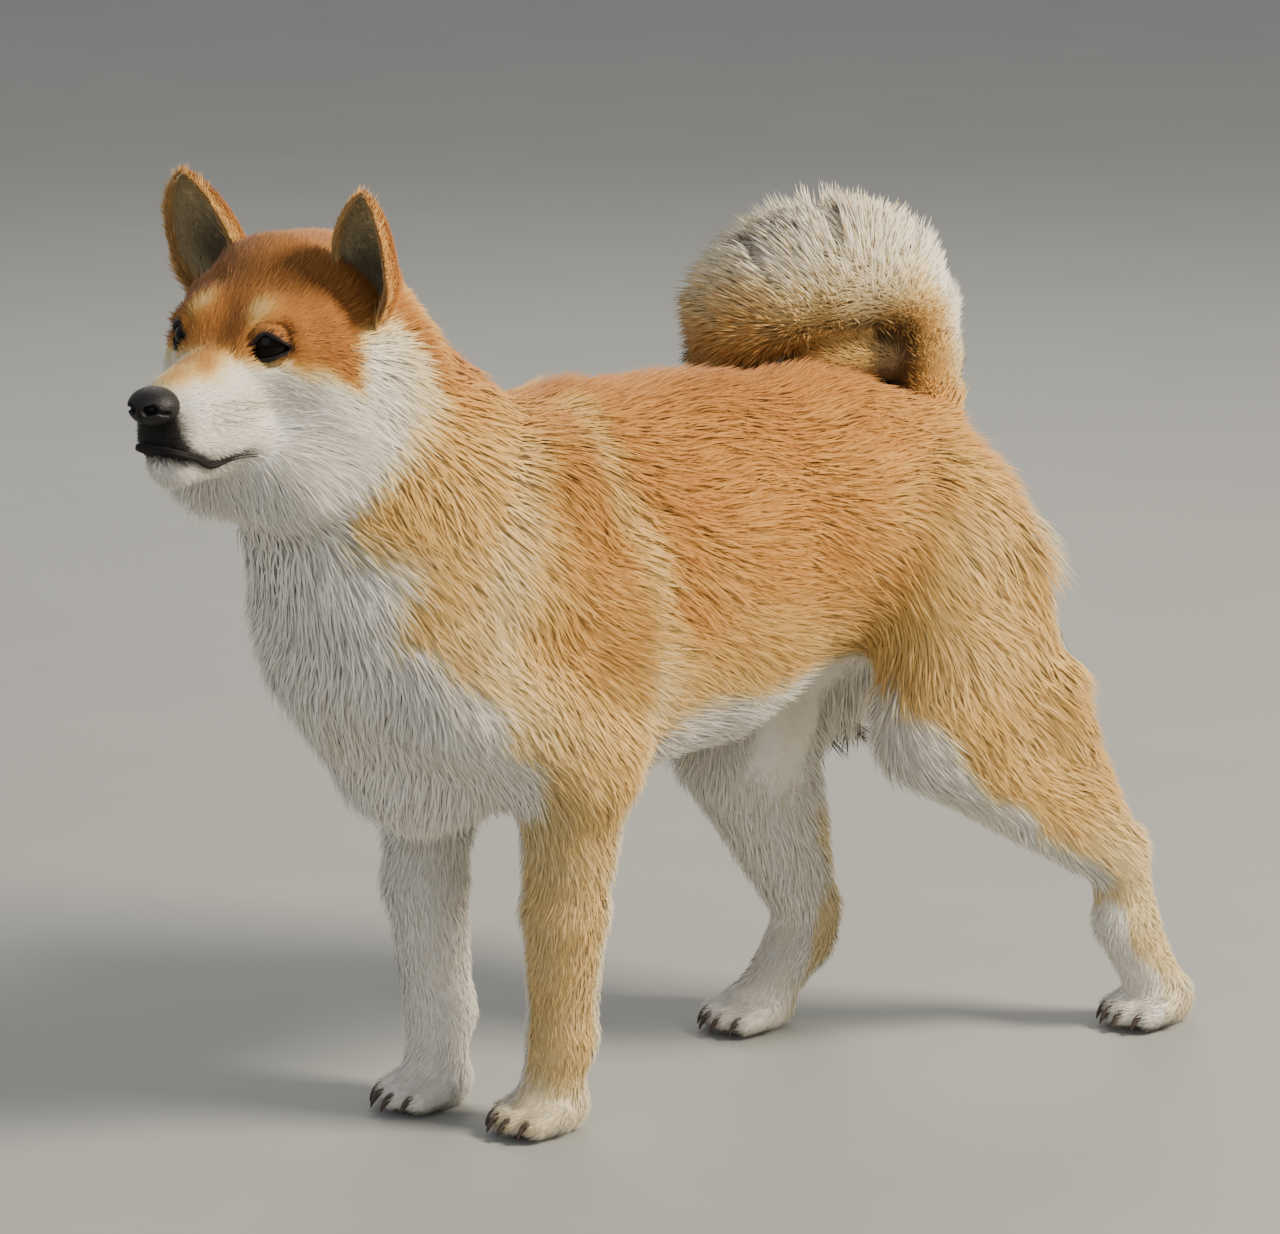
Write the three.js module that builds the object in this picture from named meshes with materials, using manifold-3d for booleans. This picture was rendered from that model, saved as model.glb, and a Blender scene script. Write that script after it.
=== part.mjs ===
// A red shiba inu standing square in front with one hind leg stretched back, its head turned to its left
// and its tail curled forward over the back. Life size, in millimetres.
//
// Design frame: the dog faces -X, its left side is -Y, and Z is up from the floor. The finished group is
// moved so that the middle of its box stands over the origin.
//
// The flesh with its flat coat is one smooth field of tapered, side-squeezed muscles. Each body part is
// that field wrapped in faces inside its own region, and thin cuts part the regions from each other.

import * as THREE from "three";
import { mergeVertices } from "three/addons/utils/BufferGeometryUtils.js";
import Module from "manifold-3d";

const wasm = await Module();
wasm.setup();

// Driving dimensions.
const GAP = 0.3; // air between parts that touch
const HEAD = { x: -175, y: -15, z: 446, yaw: 24, pitch: -3, roll: 1.5 }; // between the eyes, and the turn of the head
const EYE_RADIUS = 12;
const EYE = { x: 1, y: 22.5, z: 2 }; // middle of the eyeball in the head's own frame
const FORE_STANCE = 37; // feet from the middle plane
const HIND_STANCE = 60;

// Colours of the real coat and skin.
const RED = 0xb9763c;
const CREAM = 0xe6dcc6;
const PALE = 0xd9b98a;
const BLACK = 0x16130f;

const coat = (color) => new THREE.MeshStandardMaterial({ color, roughness: 0.9, metalness: 0 });
const moist = (color) => new THREE.MeshStandardMaterial({ color, roughness: 0.25, metalness: 0 });

// The head's own frame has the same axes as the body, turned about the point between the eyes.
const headFrame = new THREE.Object3D();
headFrame.position.set(HEAD.x, HEAD.y, HEAD.z);
headFrame.rotation.set(
  THREE.MathUtils.degToRad(HEAD.roll),
  THREE.MathUtils.degToRad(HEAD.pitch),
  THREE.MathUtils.degToRad(HEAD.yaw),
  "ZYX",
);
headFrame.updateMatrixWorld(true);
const toHead = headFrame.matrixWorld.clone().invert();
const fromHead = (x, y, z) => new THREE.Vector3(x, y, z).applyMatrix4(headFrame.matrixWorld);

// One muscle: a capsule from a to b whose radius goes from ra to rb, squeezed sideways by the share k,
// that melts into what was there before it over the length soft.
const muscle = (a, b, ra, rb, k = 1, soft = 14) => ({ a, b, ra, rb, k, soft });
const bothSides = (list) =>
  [-1, 1].flatMap((s) => list.map((m) => ({ ...m, a: [m.a[0], s * m.a[1], m.a[2]], b: [m.b[0], s * m.b[1], m.b[2]] })));
const oneSide = (s, list) =>
  list.map((m) => ({ ...m, a: [m.a[0], s * m.a[1], m.a[2]], b: [m.b[0], s * m.b[1], m.b[2]] }));

const trunk = [
  muscle([30, 0, 290], [110, 0, 297], 112, 104, 0.66, 20), // rib cage
  muscle([110, 0, 297], [195, 0, 312], 104, 84, 0.7, 20), // loin
  muscle([195, 0, 312], [244, 0, 318], 84, 62, 0.86, 20), // croup
  muscle([30, 0, 290], [-60, 0, 290], 112, 84, 0.72, 20), // fore rib cage
  muscle([-64, 0, 290], [-46, 0, 238], 82, 73, 0.78, 20), // breast
  muscle([244, 0, 322], [284, 0, 362], 40, 21, 1, 16), // root of the tail
];
const neck = [muscle([-50, 0, 318], [-108, 6, 402], 93, 78, 0.86, 24)];

const shoulders = bothSides([
  muscle([-4, 40, 350], [-62, 44, 266], 40, 42, 1, 22), // shoulder blade
  muscle([-62, 44, 266], [8, 50, 212], 42, 38, 1, 22), // upper arm
]);

// A foreleg from the elbow to the foot, at the X of each joint.
const foreleg = (side, elbowX, armX, wristX, footX) =>
  oneSide(side, [
    muscle([elbowX, 51, 205], [armX, 46, 125], 35, 25, 0.95, 20),
    muscle([armX, 46, 125], [wristX, 40, 54], 25, 20, 0.95, 8),
    muscle([wristX, 40, 54], [footX, FORE_STANCE, 20], 20, 19, 1, 8),
  ]);
const TOES = [-1.5, -0.5, 0.5, 1.5];
const toeReach = (place) => (Math.abs(place) < 1 ? 24 : 18);
const paw = (side, x, y) => [
  muscle([x + 6, side * y, 15], [x - 6, side * y, 13], 19, 18, 1, 6),
  ...TOES.map((place) =>
    muscle([x - 2, side * y + place * 9, 13], [x - toeReach(place), side * y + place * 10.5, 9.5], 11, 9, 1, 2),
  ),
];

// A hind leg, from the haunch down to the foot. The left one is stretched back.
const hindLeft = oneSide(-1, [
  muscle([252, 42, 302], [258, 56, 220], 60, 50, 0.8, 26), // thigh
  muscle([286, 44, 275], [308, 56, 206], 42, 31, 0.8, 22), // breeches
  muscle([314, 58, 206], [368, 62, 112], 32, 17, 0.85, 18), // hamstring tendon
  muscle([244, 58, 196], [368, 62, 104], 39, 20, 0.85, 18), // second thigh
  muscle([372, 62, 108], [380, 62, 66], 19, 19, 0.85, 8), // hock
  muscle([378, 62, 66], [404, HIND_STANCE, 22], 20, 18, 0.9, 8), // rear pastern
]);
const hindRight = oneSide(1, [
  muscle([238, 42, 302], [208, 56, 205], 60, 50, 0.8, 26),
  muscle([276, 44, 272], [257, 56, 200], 43, 31, 0.8, 22),
  muscle([198, 58, 172], [242, 61, 68], 47, 22, 0.85, 18),
  muscle([245, 61, 66], [240, 61, 50], 20, 20, 0.85, 8),
  muscle([240, 61, 50], [216, HIND_STANCE, 22], 21, 18, 0.9, 8),
]);

// The head, in its own frame: x back from between the eyes, z up.
const skull = [
  muscle([46, 0, 0], [66, 0, -4], 47, 52, 1.1, 10), // brain case
  muscle([20, 0, -4], [46, 0, 0], 32, 46, 1.08, 14), // forehead
  muscle([4, 0, -20], [-50, 0, -25], 27, 20, 1.04, 12), // muzzle
  muscle([16, 0, -44], [-54, 0, -50], 25, 14.5, 1, 8), // lower jaw
  ...bothSides([
    muscle([34, 30, -34], [66, 34, -26], 36, 38, 1, 16), // cheek
    muscle([16, 20, -62], [56, 30, -52], 35, 38, 1, 18), // ruff under the cheek
    muscle([8, 17, 10], [24, 30, 12], 12, 14, 1, 10), // brow
    muscle([4, 13, -8], [24, 24, -12], 19, 28, 1, 12), // cheekbone
    muscle([-58, 6, -37], [-12, 15, -42], 12, 14, 1, 6), // upper lip
  ]),
];

const segment = new THREE.Vector3();
const local = new THREE.Vector3();
function muscleDistance(m, p) {
  // Sideways distances from the bone grow by 1/k, so that the round section becomes an oval.
  segment.set(m.b[0] - m.a[0], m.b[1] - m.a[1], m.b[2] - m.a[2]);
  const px = p.x - m.a[0];
  const py = p.y - m.a[1];
  const pz = p.z - m.a[2];
  const along = (px * segment.x + py * segment.y + pz * segment.z) / (segment.lengthSq() || 1);
  const t = Math.min(1, Math.max(0, along));
  const dx = px - t * segment.x;
  const dy = (py - t * segment.y) / m.k;
  const dz = pz - t * segment.z;
  const away = Math.hypot(dx, dy, dz);
  const radius = m.ra + (m.rb - m.ra) * t;
  // The squeezed distance is scaled back towards a true one.
  const stretch = away > 0 ? Math.hypot(dx, dy * m.k, dz) / away : 1;
  return (away - radius) * Math.max(stretch, Math.min(1, m.k));
}
function melt(a, b, soft) {
  const h = Math.max(soft - Math.abs(a - b), 0) / soft;
  return Math.min(a, b) - (h * h * soft) / 4;
}
const field = (muscles) => (p) => muscles.reduce((d, m) => melt(d, muscleDistance(m, p), m.soft), 1e3);
const headField = (muscles) => {
  const own = field(muscles);
  return (p) => own(local.copy(p).applyMatrix4(toHead));
};

const legsAndFeet = [...foreleg(-1, 10, 7, 9, 4), ...foreleg(1, -16, -24, -19, -24), ...hindLeft, ...hindRight];
const feet = {
  fore_left: { side: -1, x: 2, y: FORE_STANCE },
  fore_right: { side: 1, x: -26, y: FORE_STANCE },
  hind_left: { side: -1, x: 404, y: HIND_STANCE },
  hind_right: { side: 1, x: 208, y: HIND_STANCE },
};
const paws = Object.fromEntries(Object.entries(feet).map(([name, f]) => ["paw_" + name, paw(f.side, f.x, f.y)]));
const bodyFlesh = field([...trunk, ...neck, ...shoulders, ...legsAndFeet]);
const headFlesh = headField(skull);
const wholeFlesh = (p) => melt(bodyFlesh(p), headFlesh(p), 22);

// Wraps the zero surface of a field in faces: one point in each cell that it crosses, drawn onto it.
function wrap(distance, low, high, cell) {
  const count = low.map((v, i) => Math.ceil((high[i] - v) / cell) + 1);
  const index = (i, j, k) => (i * count[1] + j) * count[2] + k;
  const at = (i, j, k) => new THREE.Vector3(low[0] + i * cell, low[1] + j * cell, low[2] + k * cell);
  const value = new Float32Array(count[0] * count[1] * count[2]);
  for (let i = 0; i < count[0]; i++)
    for (let j = 0; j < count[1]; j++)
      for (let k = 0; k < count[2]; k++) {
        const border = [i, j, k].some((n, axis) => n === 0 || n === count[axis] - 1);
        value[index(i, j, k)] = border ? cell : distance(at(i, j, k));
      }
  const corners = [0, 1].flatMap((a) => [0, 1].flatMap((b) => [0, 1].map((c) => [a, b, c])));
  const edges = corners.flatMap((c, n) =>
    [0, 1, 2].filter((axis) => c[axis] === 0).map((axis) => [n, n + [4, 2, 1][axis]]),
  );
  const pointOf = new Int32Array(value.length).fill(-1);
  const points = [];
  for (let i = 0; i < count[0] - 1; i++)
    for (let j = 0; j < count[1] - 1; j++)
      for (let k = 0; k < count[2] - 1; k++) {
        const v = corners.map((c) => value[index(i + c[0], j + c[1], k + c[2])]);
        const crossed = edges.filter(([a, b]) => v[a] < 0 !== v[b] < 0);
        if (!crossed.length) continue;
        const middle = new THREE.Vector3();
        for (const [a, b] of crossed) {
          const share = v[a] / (v[a] - v[b]);
          middle.add(new THREE.Vector3(...corners[a]).lerp(new THREE.Vector3(...corners[b]), share));
        }
        middle.divideScalar(crossed.length).multiplyScalar(cell).add(at(i, j, k));
        pointOf[index(i, j, k)] = points.length;
        points.push(settle(distance, middle, cell * 0.3));
      }
  const triangles = [];
  for (let i = 0; i < count[0] - 1; i++)
    for (let j = 0; j < count[1] - 1; j++)
      for (let k = 0; k < count[2] - 1; k++)
        for (let axis = 0; axis < 3; axis++) {
          const step = [0, 0, 0];
          step[axis] = 1;
          const place = [i, j, k];
          if (place.some((n, a) => a !== axis && n === 0)) continue;
          const here = value[index(i, j, k)] < 0;
          const next = value[index(i + step[0], j + step[1], k + step[2])] < 0;
          if (here === next) continue;
          const [u, v] = [(axis + 1) % 3, (axis + 2) % 3];
          const around = [[0, 0], [1, 0], [1, 1], [0, 1]].map(([a, b]) => {
            const c = [i, j, k];
            c[u] -= a;
            c[v] -= b;
            return pointOf[index(...c)];
          });
          const quad = here ? around : around.reverse();
          const [a, b, c, d] = quad.map((n) => points[n]);
          const split = a.distanceTo(c) < b.distanceTo(d) ? [0, 1, 2, 0, 2, 3] : [0, 1, 3, 1, 2, 3];
          triangles.push(...split.map((n) => quad[n]));
        }
  return geometryOf(points, triangles);
}
function settle(distance, point, most) {
  const start = point.clone();
  for (let n = 0; n < 3; n++) {
    const h = 0.5;
    const d = distance(point);
    const slope = new THREE.Vector3(
      distance(new THREE.Vector3(point.x + h, point.y, point.z)) - d,
      distance(new THREE.Vector3(point.x, point.y + h, point.z)) - d,
      distance(new THREE.Vector3(point.x, point.y, point.z + h)) - d,
    ).divideScalar(h);
    point.addScaledVector(slope, -d / Math.max(slope.lengthSq(), 0.2));
  }
  const moved = point.sub(start).clampLength(0, most);
  return start.add(moved);
}
function geometryOf(points, triangles) {
  const flat = new Float32Array(points.flatMap((p) => [p.x, p.y, p.z]));
  return new THREE.BufferGeometry().setAttribute("position", new THREE.BufferAttribute(flat, 3)).setIndex(triangles);
}

// Joining and cutting.
function solid(geometry, matrix) {
  let g = geometry.clone();
  for (const name of Object.keys(g.attributes)) if (name !== "position") g.deleteAttribute(name);
  if (matrix) g.applyMatrix4(matrix);
  g = mergeVertices(g, 1e-3);
  return new wasm.Manifold(
    new wasm.Mesh({ numProp: 3, vertProperties: g.attributes.position.array, triVerts: new Uint32Array(g.index.array) }),
  );
}
const largest = (s) => s.decompose().sort((a, b) => b.volume() - a.volume())[0];
function mesh(name, s, material, tolerance = 0.02) {
  const m = largest(s.simplify(tolerance)).getMesh();
  const g = new THREE.BufferGeometry()
    .setAttribute("position", new THREE.BufferAttribute(m.vertProperties.slice(), 3))
    .setIndex(new THREE.BufferAttribute(m.triVerts.slice(), 1));
  g.computeVertexNormals();
  const made = new THREE.Mesh(g, material);
  made.name = name;
  return made;
}

// A closed skin over rings of points, with a fan at each end.
function loft(rings) {
  const sides = rings[0].length;
  const centre = (ring) => ring.reduce((sum, p) => sum.add(p), new THREE.Vector3()).divideScalar(sides);
  const points = [...rings.flat(), centre(rings[0]), centre(rings.at(-1))];
  const triangles = [];
  rings.forEach((ring, r) =>
    ring.forEach((_, n) => {
      const next = (n + 1) % sides;
      const [a, b] = [r * sides + n, r * sides + next];
      if (r === 0) triangles.push(points.length - 2, b, a);
      if (r === rings.length - 1) triangles.push(points.length - 1, a, b);
      else triangles.push(a, b, b + sides, a, b + sides, a + sides);
    }),
  );
  return geometryOf(points, triangles);
}
// Turned right way out whichever way its rings run.
function loftSolid(rings, matrix) {
  const made = solid(loft(rings), matrix);
  return made.volume() > 0 ? made : solid(loft([...rings].reverse()), matrix);
}
const steps = (count, from = 0, to = 1) => Array.from({ length: count }, (_, n) => from + ((to - from) * n) / (count - 1));
const circle = (count) => Array.from({ length: count }, (_, n) => (n / count) * 2 * Math.PI);

// A cutter is an outline in the Y-Z plane drawn out along X, or a box laid on a plane.
function cutterAlongX(outline, x0, x1, grow) {
  const shape = new THREE.Shape(outline.map(([y, z]) => new THREE.Vector2(y, z)));
  const g = new THREE.ExtrudeGeometry(shape, { depth: x1 - x0 + 2 * grow, bevelEnabled: false });
  const axes = new THREE.Matrix4().makeBasis(
    new THREE.Vector3(0, 1, 0),
    new THREE.Vector3(0, 0, 1),
    new THREE.Vector3(1, 0, 0),
  );
  axes.setPosition(x0 - grow, 0, 0);
  return solid(g, axes);
}
function boxOnPlane(at, normal, size, depth, grow = 0) {
  const g = new THREE.BoxGeometry(size, size, depth).translate(0, 0, depth / 2 - grow);
  const turn = new THREE.Quaternion().setFromUnitVectors(new THREE.Vector3(0, 0, 1), normal.clone().normalize());
  return solid(g, new THREE.Matrix4().compose(at, turn, new THREE.Vector3(1, 1, 1)));
}
const headDirection = (x, y, z) => fromHead(x, y, z).sub(fromHead(0, 0, 0));

// Where the parts are cut.
const headRegion = (grow) => boxOnPlane(fromHead(64, 0, -34), headDirection(-0.78, 0, 0.5), 400, 300, grow);
const neckRegion = (grow) => boxOnPlane(new THREE.Vector3(-58, 0, 334), new THREE.Vector3(-0.74, 0, 0.67), 420, 400, grow);
const legRegion = (side, x0, x1, inner, outer, grow) =>
  cutterAlongX(
    [
      [side * (6 - grow), -60],
      [side * (6 - grow), inner + grow],
      [side * 150, outer + grow],
      [side * 150, -60],
    ],
    x0,
    x1,
    grow,
  );
const foreRegion = (side, grow) => legRegion(side, -90, 80, 158, 300, grow);
const hindRegion = (side, grow) => legRegion(side, 146, 520, 200, 372, grow);
const pawRegion = (x, y, grow) =>
  solid(new THREE.BoxGeometry(90 + 2 * grow, 60 + 2 * grow, 60).translate(x, y, 34 + grow - 30));
const floorCut = () => solid(new THREE.BoxGeometry(900, 500, 60).translate(100, 0, -30));

// The ear: a forward-leaning triangle with a rounded tip, hollowed into a cup from the front.
const EAR = { root: [54, 45, 16], tip: [37, 57, 77], half: 22, back: 14, skin: 3.2, sides: 9 };
function earRings(side, from, to, cup) {
  const mirror = (v) => new THREE.Vector3(v[0], side * v[1], v[2]);
  const root = mirror(EAR.root);
  const up = mirror(EAR.tip).sub(root);
  const across = mirror([-0.12, 0.98, -0.15]).normalize();
  const front = mirror([-0.95, -0.02, -0.27]).normalize();
  return steps(6).map((u) => {
    // The rings stand closer together towards the rounded tip.
    const t = from + (to - from) * (1 - (1 - u) ** 1.6);
    const full = Math.max(1 - Math.max(t, 0) ** 2.4, 0) ** 0.6;
    const half = Math.max(EAR.half * full - (cup ? EAR.skin : 0), 0.5);
    const back = Math.max(EAR.back * full + (cup ? -EAR.skin : 1.5), 0.5);
    const ahead = cup ? 18 : back * 0.25;
    const middle = root.clone().addScaledVector(up, t);
    return circle(EAR.sides).map((angle) =>
      middle
        .clone()
        .addScaledVector(across, half * Math.cos(angle))
        .addScaledVector(front, (Math.sin(angle) > 0 ? ahead : back) * Math.sin(angle)),
    );
  });
}
const earShell = (side) => loftSolid(earRings(side, -0.45, 1, false), headFrame.matrixWorld);
const earCup = (side) => loftSolid(earRings(side, 0.16, 0.93, true), headFrame.matrixWorld);
const earRegion = (side, grow) =>
  boxOnPlane(fromHead(52, side * 45, 22), headDirection(0, side * 0.76, 0.65), 96, 90, grow);

// The eye and its lids. The opening slants up to a peak, as in the breed.
const eyeOut = (side) => new THREE.Vector3(-0.84, side * 0.52, 0.12).normalize();
const eyeMiddle = (side) => new THREE.Vector3(EYE.x, side * EYE.y, EYE.z);
const eyeBall = (side, r, parts) =>
  solid(
    new THREE.SphereGeometry(r, parts, Math.round(parts * 0.6)).translate(...eyeMiddle(side).toArray()),
    headFrame.matrixWorld,
  );
function eyeOpening(side) {
  // Drawn from the inner corner of the eye to the outer one.
  const opening = new THREE.Shape();
  opening.moveTo(-10.5, -4.2);
  opening.quadraticCurveTo(-6, 6, -1.5, 6.6);
  opening.quadraticCurveTo(4, 5, 11, -1.6);
  opening.quadraticCurveTo(3.5, -6.6, -3, -6.8);
  opening.quadraticCurveTo(-8, -6.6, -10.5, -4.2);
  const g = new THREE.ExtrudeGeometry(opening, { depth: 22, bevelEnabled: false, curveSegments: 3 });
  if (side < 0) g.scale(-1, 1, 1);
  const out = eyeOut(side);
  const across = new THREE.Vector3(-out.y, out.x, 0).normalize().multiplyScalar(-1);
  const up = new THREE.Vector3().crossVectors(out, across).normalize();
  const axes = new THREE.Matrix4().makeBasis(across, up, out);
  axes.setPosition(eyeMiddle(side).addScaledVector(out, 3.5));
  if (side < 0) {
    // A mirrored prism is turned right way out again.
    g.index = null;
    const p = g.attributes.position.array;
    for (let n = 0; n < p.length; n += 9) for (let c = 0; c < 3; c++) [p[n + c], p[n + 3 + c]] = [p[n + 3 + c], p[n + c]];
    g.setIndex(Array.from({ length: p.length / 3 }, (_, n) => n));
  } else if (!g.index) g.setIndex(Array.from({ length: g.attributes.position.count }, (_, n) => n));
  return solid(g, headFrame.matrixWorld.clone().multiply(axes));
}

// A tube along a path, thinning to its ends.
function tube(path, radius, sides, thin) {
  const curve = new THREE.CatmullRomCurve3(path);
  const frames = curve.computeFrenetFrames(path.length - 1, false);
  return path.map((_, n) => {
    const t = n / (path.length - 1);
    const r = radius * Math.max(thin, Math.min(1, 6 * Math.min(t, 1 - t)));
    const middle = curve.getPointAt(t);
    return circle(sides).map((angle) =>
      middle
        .clone()
        .addScaledVector(frames.normals[n], r * Math.cos(angle))
        .addScaledVector(frames.binormals[n], r * Math.sin(angle)),
    );
  });
}

// The line of the mouth runs round the muzzle, on its skin, from one corner to the other.
const skullField = field(skull);
function mouthPath(lift, reach = 120, count = 13) {
  return steps(count, -reach, reach).map((degrees) => {
    const angle = THREE.MathUtils.degToRad(degrees);
    const fall = 13 * THREE.MathUtils.smoothstep(Math.abs(degrees), 8, 80);
    const rise = 6 * THREE.MathUtils.smoothstep(Math.abs(degrees), 85, 120);
    const out = new THREE.Vector3(-Math.cos(angle), Math.sin(angle), 0);
    const p = new THREE.Vector3(-40, 0, -40 - fall + rise);
    for (let n = 0; n < 60; n++) p.addScaledVector(out, Math.max(-skullField(p), 0) * 0.6);
    return p.addScaledVector(out, lift);
  });
}

// The bare pad of the nose, its two comma-shaped nostrils and the cleft under it.
const NOSE = { middle: [-68.5, 0, -18.5], half: [13, 13.5, 10] };
const nosePad = (grow) =>
  solid(
    new THREE.SphereGeometry(1, 12, 8)
      .scale(...NOSE.half.map((v) => v + grow))
      .translate(...NOSE.middle),
    headFrame.matrixWorld,
  );
function rod(from, to, radius, sides = 6) {
  const a = new THREE.Vector3(...from);
  const b = new THREE.Vector3(...to);
  const along = b.clone().sub(a);
  const g = new THREE.CapsuleGeometry(radius, along.length(), 2, sides);
  const turn = new THREE.Quaternion().setFromUnitVectors(new THREE.Vector3(0, 1, 0), along.clone().normalize());
  g.applyMatrix4(new THREE.Matrix4().compose(a.add(b).divideScalar(2), turn, new THREE.Vector3(1, 1, 1)));
  return solid(g, headFrame.matrixWorld);
}
const nostril = (side) =>
  rod([-82, side * 4.6, -18.5], [-79.5, side * 7, -17.5], 2.7).add(
    rod([-79.5, side * 7.5, -18], [-74.5, side * 14, -20.5], 1.4, 5),
  );
const cleft = () => rod([-83, 0, -20], [-80, 0, -39], 1.1, 5);

// The tail rises from the croup and curls forward and down over the right side of the back.
const TAIL = [
  [282, 0, 350, 21],
  [283, 1, 388, 21],
  [279, 5, 419, 26],
  [259, 11, 442, 40],
  [228, 20, 447, 48],
  [200, 31, 437, 47],
  [182, 43, 420, 40],
  [176, 52, 402, 24],
];
const CURL = new THREE.Vector3(238, 22, 405); // what the tail curls round
// The flesh of the tail fills the inner half of the brush. Locks of hair make the outer half.
const tailAt = (n) => {
  const [x, y, z, radius] = TAIL[n];
  const middle = new THREE.Vector3(x, y, z);
  const inward = CURL.clone().sub(middle).normalize();
  return middle.addScaledVector(inward, Math.max(radius - 24, 0) * 0.15).toArray();
};
const fleshRadius = (n) => (n < 2 ? TAIL[n][3] - 4 : TAIL[n][3] * 0.5);
const tail = TAIL.slice(1).map((_, n) => muscle(tailAt(n), tailAt(n + 1), fleshRadius(n), fleshRadius(n + 1), 1, 10));
const tailFlesh = field(tail);
const withTail = (list) => {
  const root = field(list);
  return (p) => melt(bodyFlesh(p), root(p), 12);
};
const rootRegion = (grow) =>
  boxOnPlane(new THREE.Vector3(289, 2, 379), new THREE.Vector3(0.25, 0, 0.97), 84, 42, grow);
const curlRegion = (grow) => boxOnPlane(new THREE.Vector3(282, 4, 409), new THREE.Vector3(0, 0, 1), 400, 200, grow);
const tipRegion = (grow) =>
  boxOnPlane(new THREE.Vector3(208, 29, 440), new THREE.Vector3(-0.86, 0.3, -0.42), 200, 200, grow);

// Repeatable random numbers from 0 to 1.
let seed = 11;
function random() {
  seed = (seed * 16807) % 2147483647;
  return seed / 2147483647;
}
// A lock of hair: a flat blade that leaves the skin, bends over along the lie and tapers to its tip.
function lock(root, way, normal, length, width, height) {
  const tangent = way.clone().addScaledVector(normal, -way.dot(normal)).normalize();
  const across = new THREE.Vector3().crossVectors(normal, tangent);
  const reach = Math.sqrt(Math.max(length ** 2 - height ** 2, 1));
  const stations = [[-0.1, -0.25, 0.7], [0.36, 0.5, 1], [0.72, 0.86, 0.7], [1, 1, 0.1]];
  const rings = stations.map(([along, up, wide]) => {
    const middle = root
      .clone()
      .addScaledVector(tangent, along * reach)
      .addScaledVector(normal, up * height);
    return circle(4).map((angle) =>
      middle
        .clone()
        .addScaledVector(across, (wide * width * Math.cos(angle)) / 2)
        .addScaledVector(normal, (wide * width * 0.36 * Math.sin(angle)) / 2),
    );
  });
  return loftSolid(rings);
}
// Locks stand in rings round the tail, lean towards its tip, and end on the outline of the brush.
function tailLocks(rows, around) {
  const line = new THREE.CatmullRomCurve3(TAIL.map((_, n) => new THREE.Vector3(...tailAt(n))));
  const outline = new THREE.CatmullRomCurve3(TAIL.map(([x, y, z]) => new THREE.Vector3(x, y, z)));
  const radius = (t) => {
    const at = t * (TAIL.length - 1);
    const n = Math.min(Math.floor(at), TAIL.length - 2);
    return TAIL[n][3] + (TAIL[n + 1][3] - TAIL[n][3]) * (at - n);
  };
  return steps(rows, 0.16, 0.93).flatMap((t, row) =>
    circle(around).map((turn) => {
      const angle = turn + (row % 2 ? Math.PI / around : 0) + (random() - 0.5) * 0.25;
      const forward = line.getTangent(t);
      const side = new THREE.Vector3().crossVectors(forward, new THREE.Vector3(0.2, 1, 0.1)).normalize();
      const other = new THREE.Vector3().crossVectors(forward, side);
      const out = side.multiplyScalar(Math.cos(angle)).addScaledVector(other, Math.sin(angle));
      const core = line.getPoint(t);
      const root = core.clone().addScaledVector(out, radius(t) * 0.3);
      const end = Math.min(t + 0.17, 1);
      const tip = outline.getPoint(end).addScaledVector(out, radius(end) * (0.92 + 0.1 * random()));
      const reach = tip.sub(root).addScaledVector(forward, 6);
      const height = Math.max(reach.dot(out), 4);
      return lock(root, reach, out, Math.max(reach.length(), height + 6), radius(t) * 1.15, height);
    }),
  );
}
// The place where a line through p along out leaves the flesh.
function ontoFlesh(p, out) {
  const moved = p.clone();
  for (let k = 0; k < 60; k++) moved.addScaledVector(out, THREE.MathUtils.clamp(-bodyFlesh(moved), -12, 12) * 0.7);
  return moved;
}
// Locks at the back of a thigh hang down over it.
function breechLocks(side, line, way, count) {
  return steps(count, 0, 1).flatMap((t, n) =>
    [-0.3, 0.25, 0.8].map((turn) => {
      const middle = new THREE.Vector3(...line[0]).lerp(new THREE.Vector3(...line[1]), t + 0.05 * random());
      const out = new THREE.Vector3(Math.cos(turn + 0.2 * (n % 2)), side * Math.sin(turn + 0.2 * (n % 2)), 0.1).normalize();
      const root = ontoFlesh(middle, out).addScaledVector(out, -5);
      const below = new THREE.Vector3(...way).setLength(42).add(root);
      const reach = ontoFlesh(below, out).sub(root);
      return lock(root, reach, out, reach.length(), 26, 8);
    }),
  );
}
const joined = (first, locks) => locks.reduce((whole, one) => whole.add(one), first);

const dog = new THREE.Group();

// The body.
const torsoWhole = solid(wrap(withTail(tail.slice(0, 2)), [-170, -105, 120], [345, 105, 411], 21));
let torso = torsoWhole.subtract(neckRegion(GAP)).subtract(rootRegion(GAP));
for (const side of [-1, 1]) torso = torso.subtract(foreRegion(side, GAP)).subtract(hindRegion(side, GAP));
dog.add(mesh("torso", torso, coat(RED)));

const neckWhole = solid(wrap(wholeFlesh, [-240, -105, 235], [30, 120, 485], 18));
dog.add(mesh("neck", neckWhole.intersect(neckRegion(0)).subtract(headRegion(GAP)), coat(PALE)));

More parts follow.
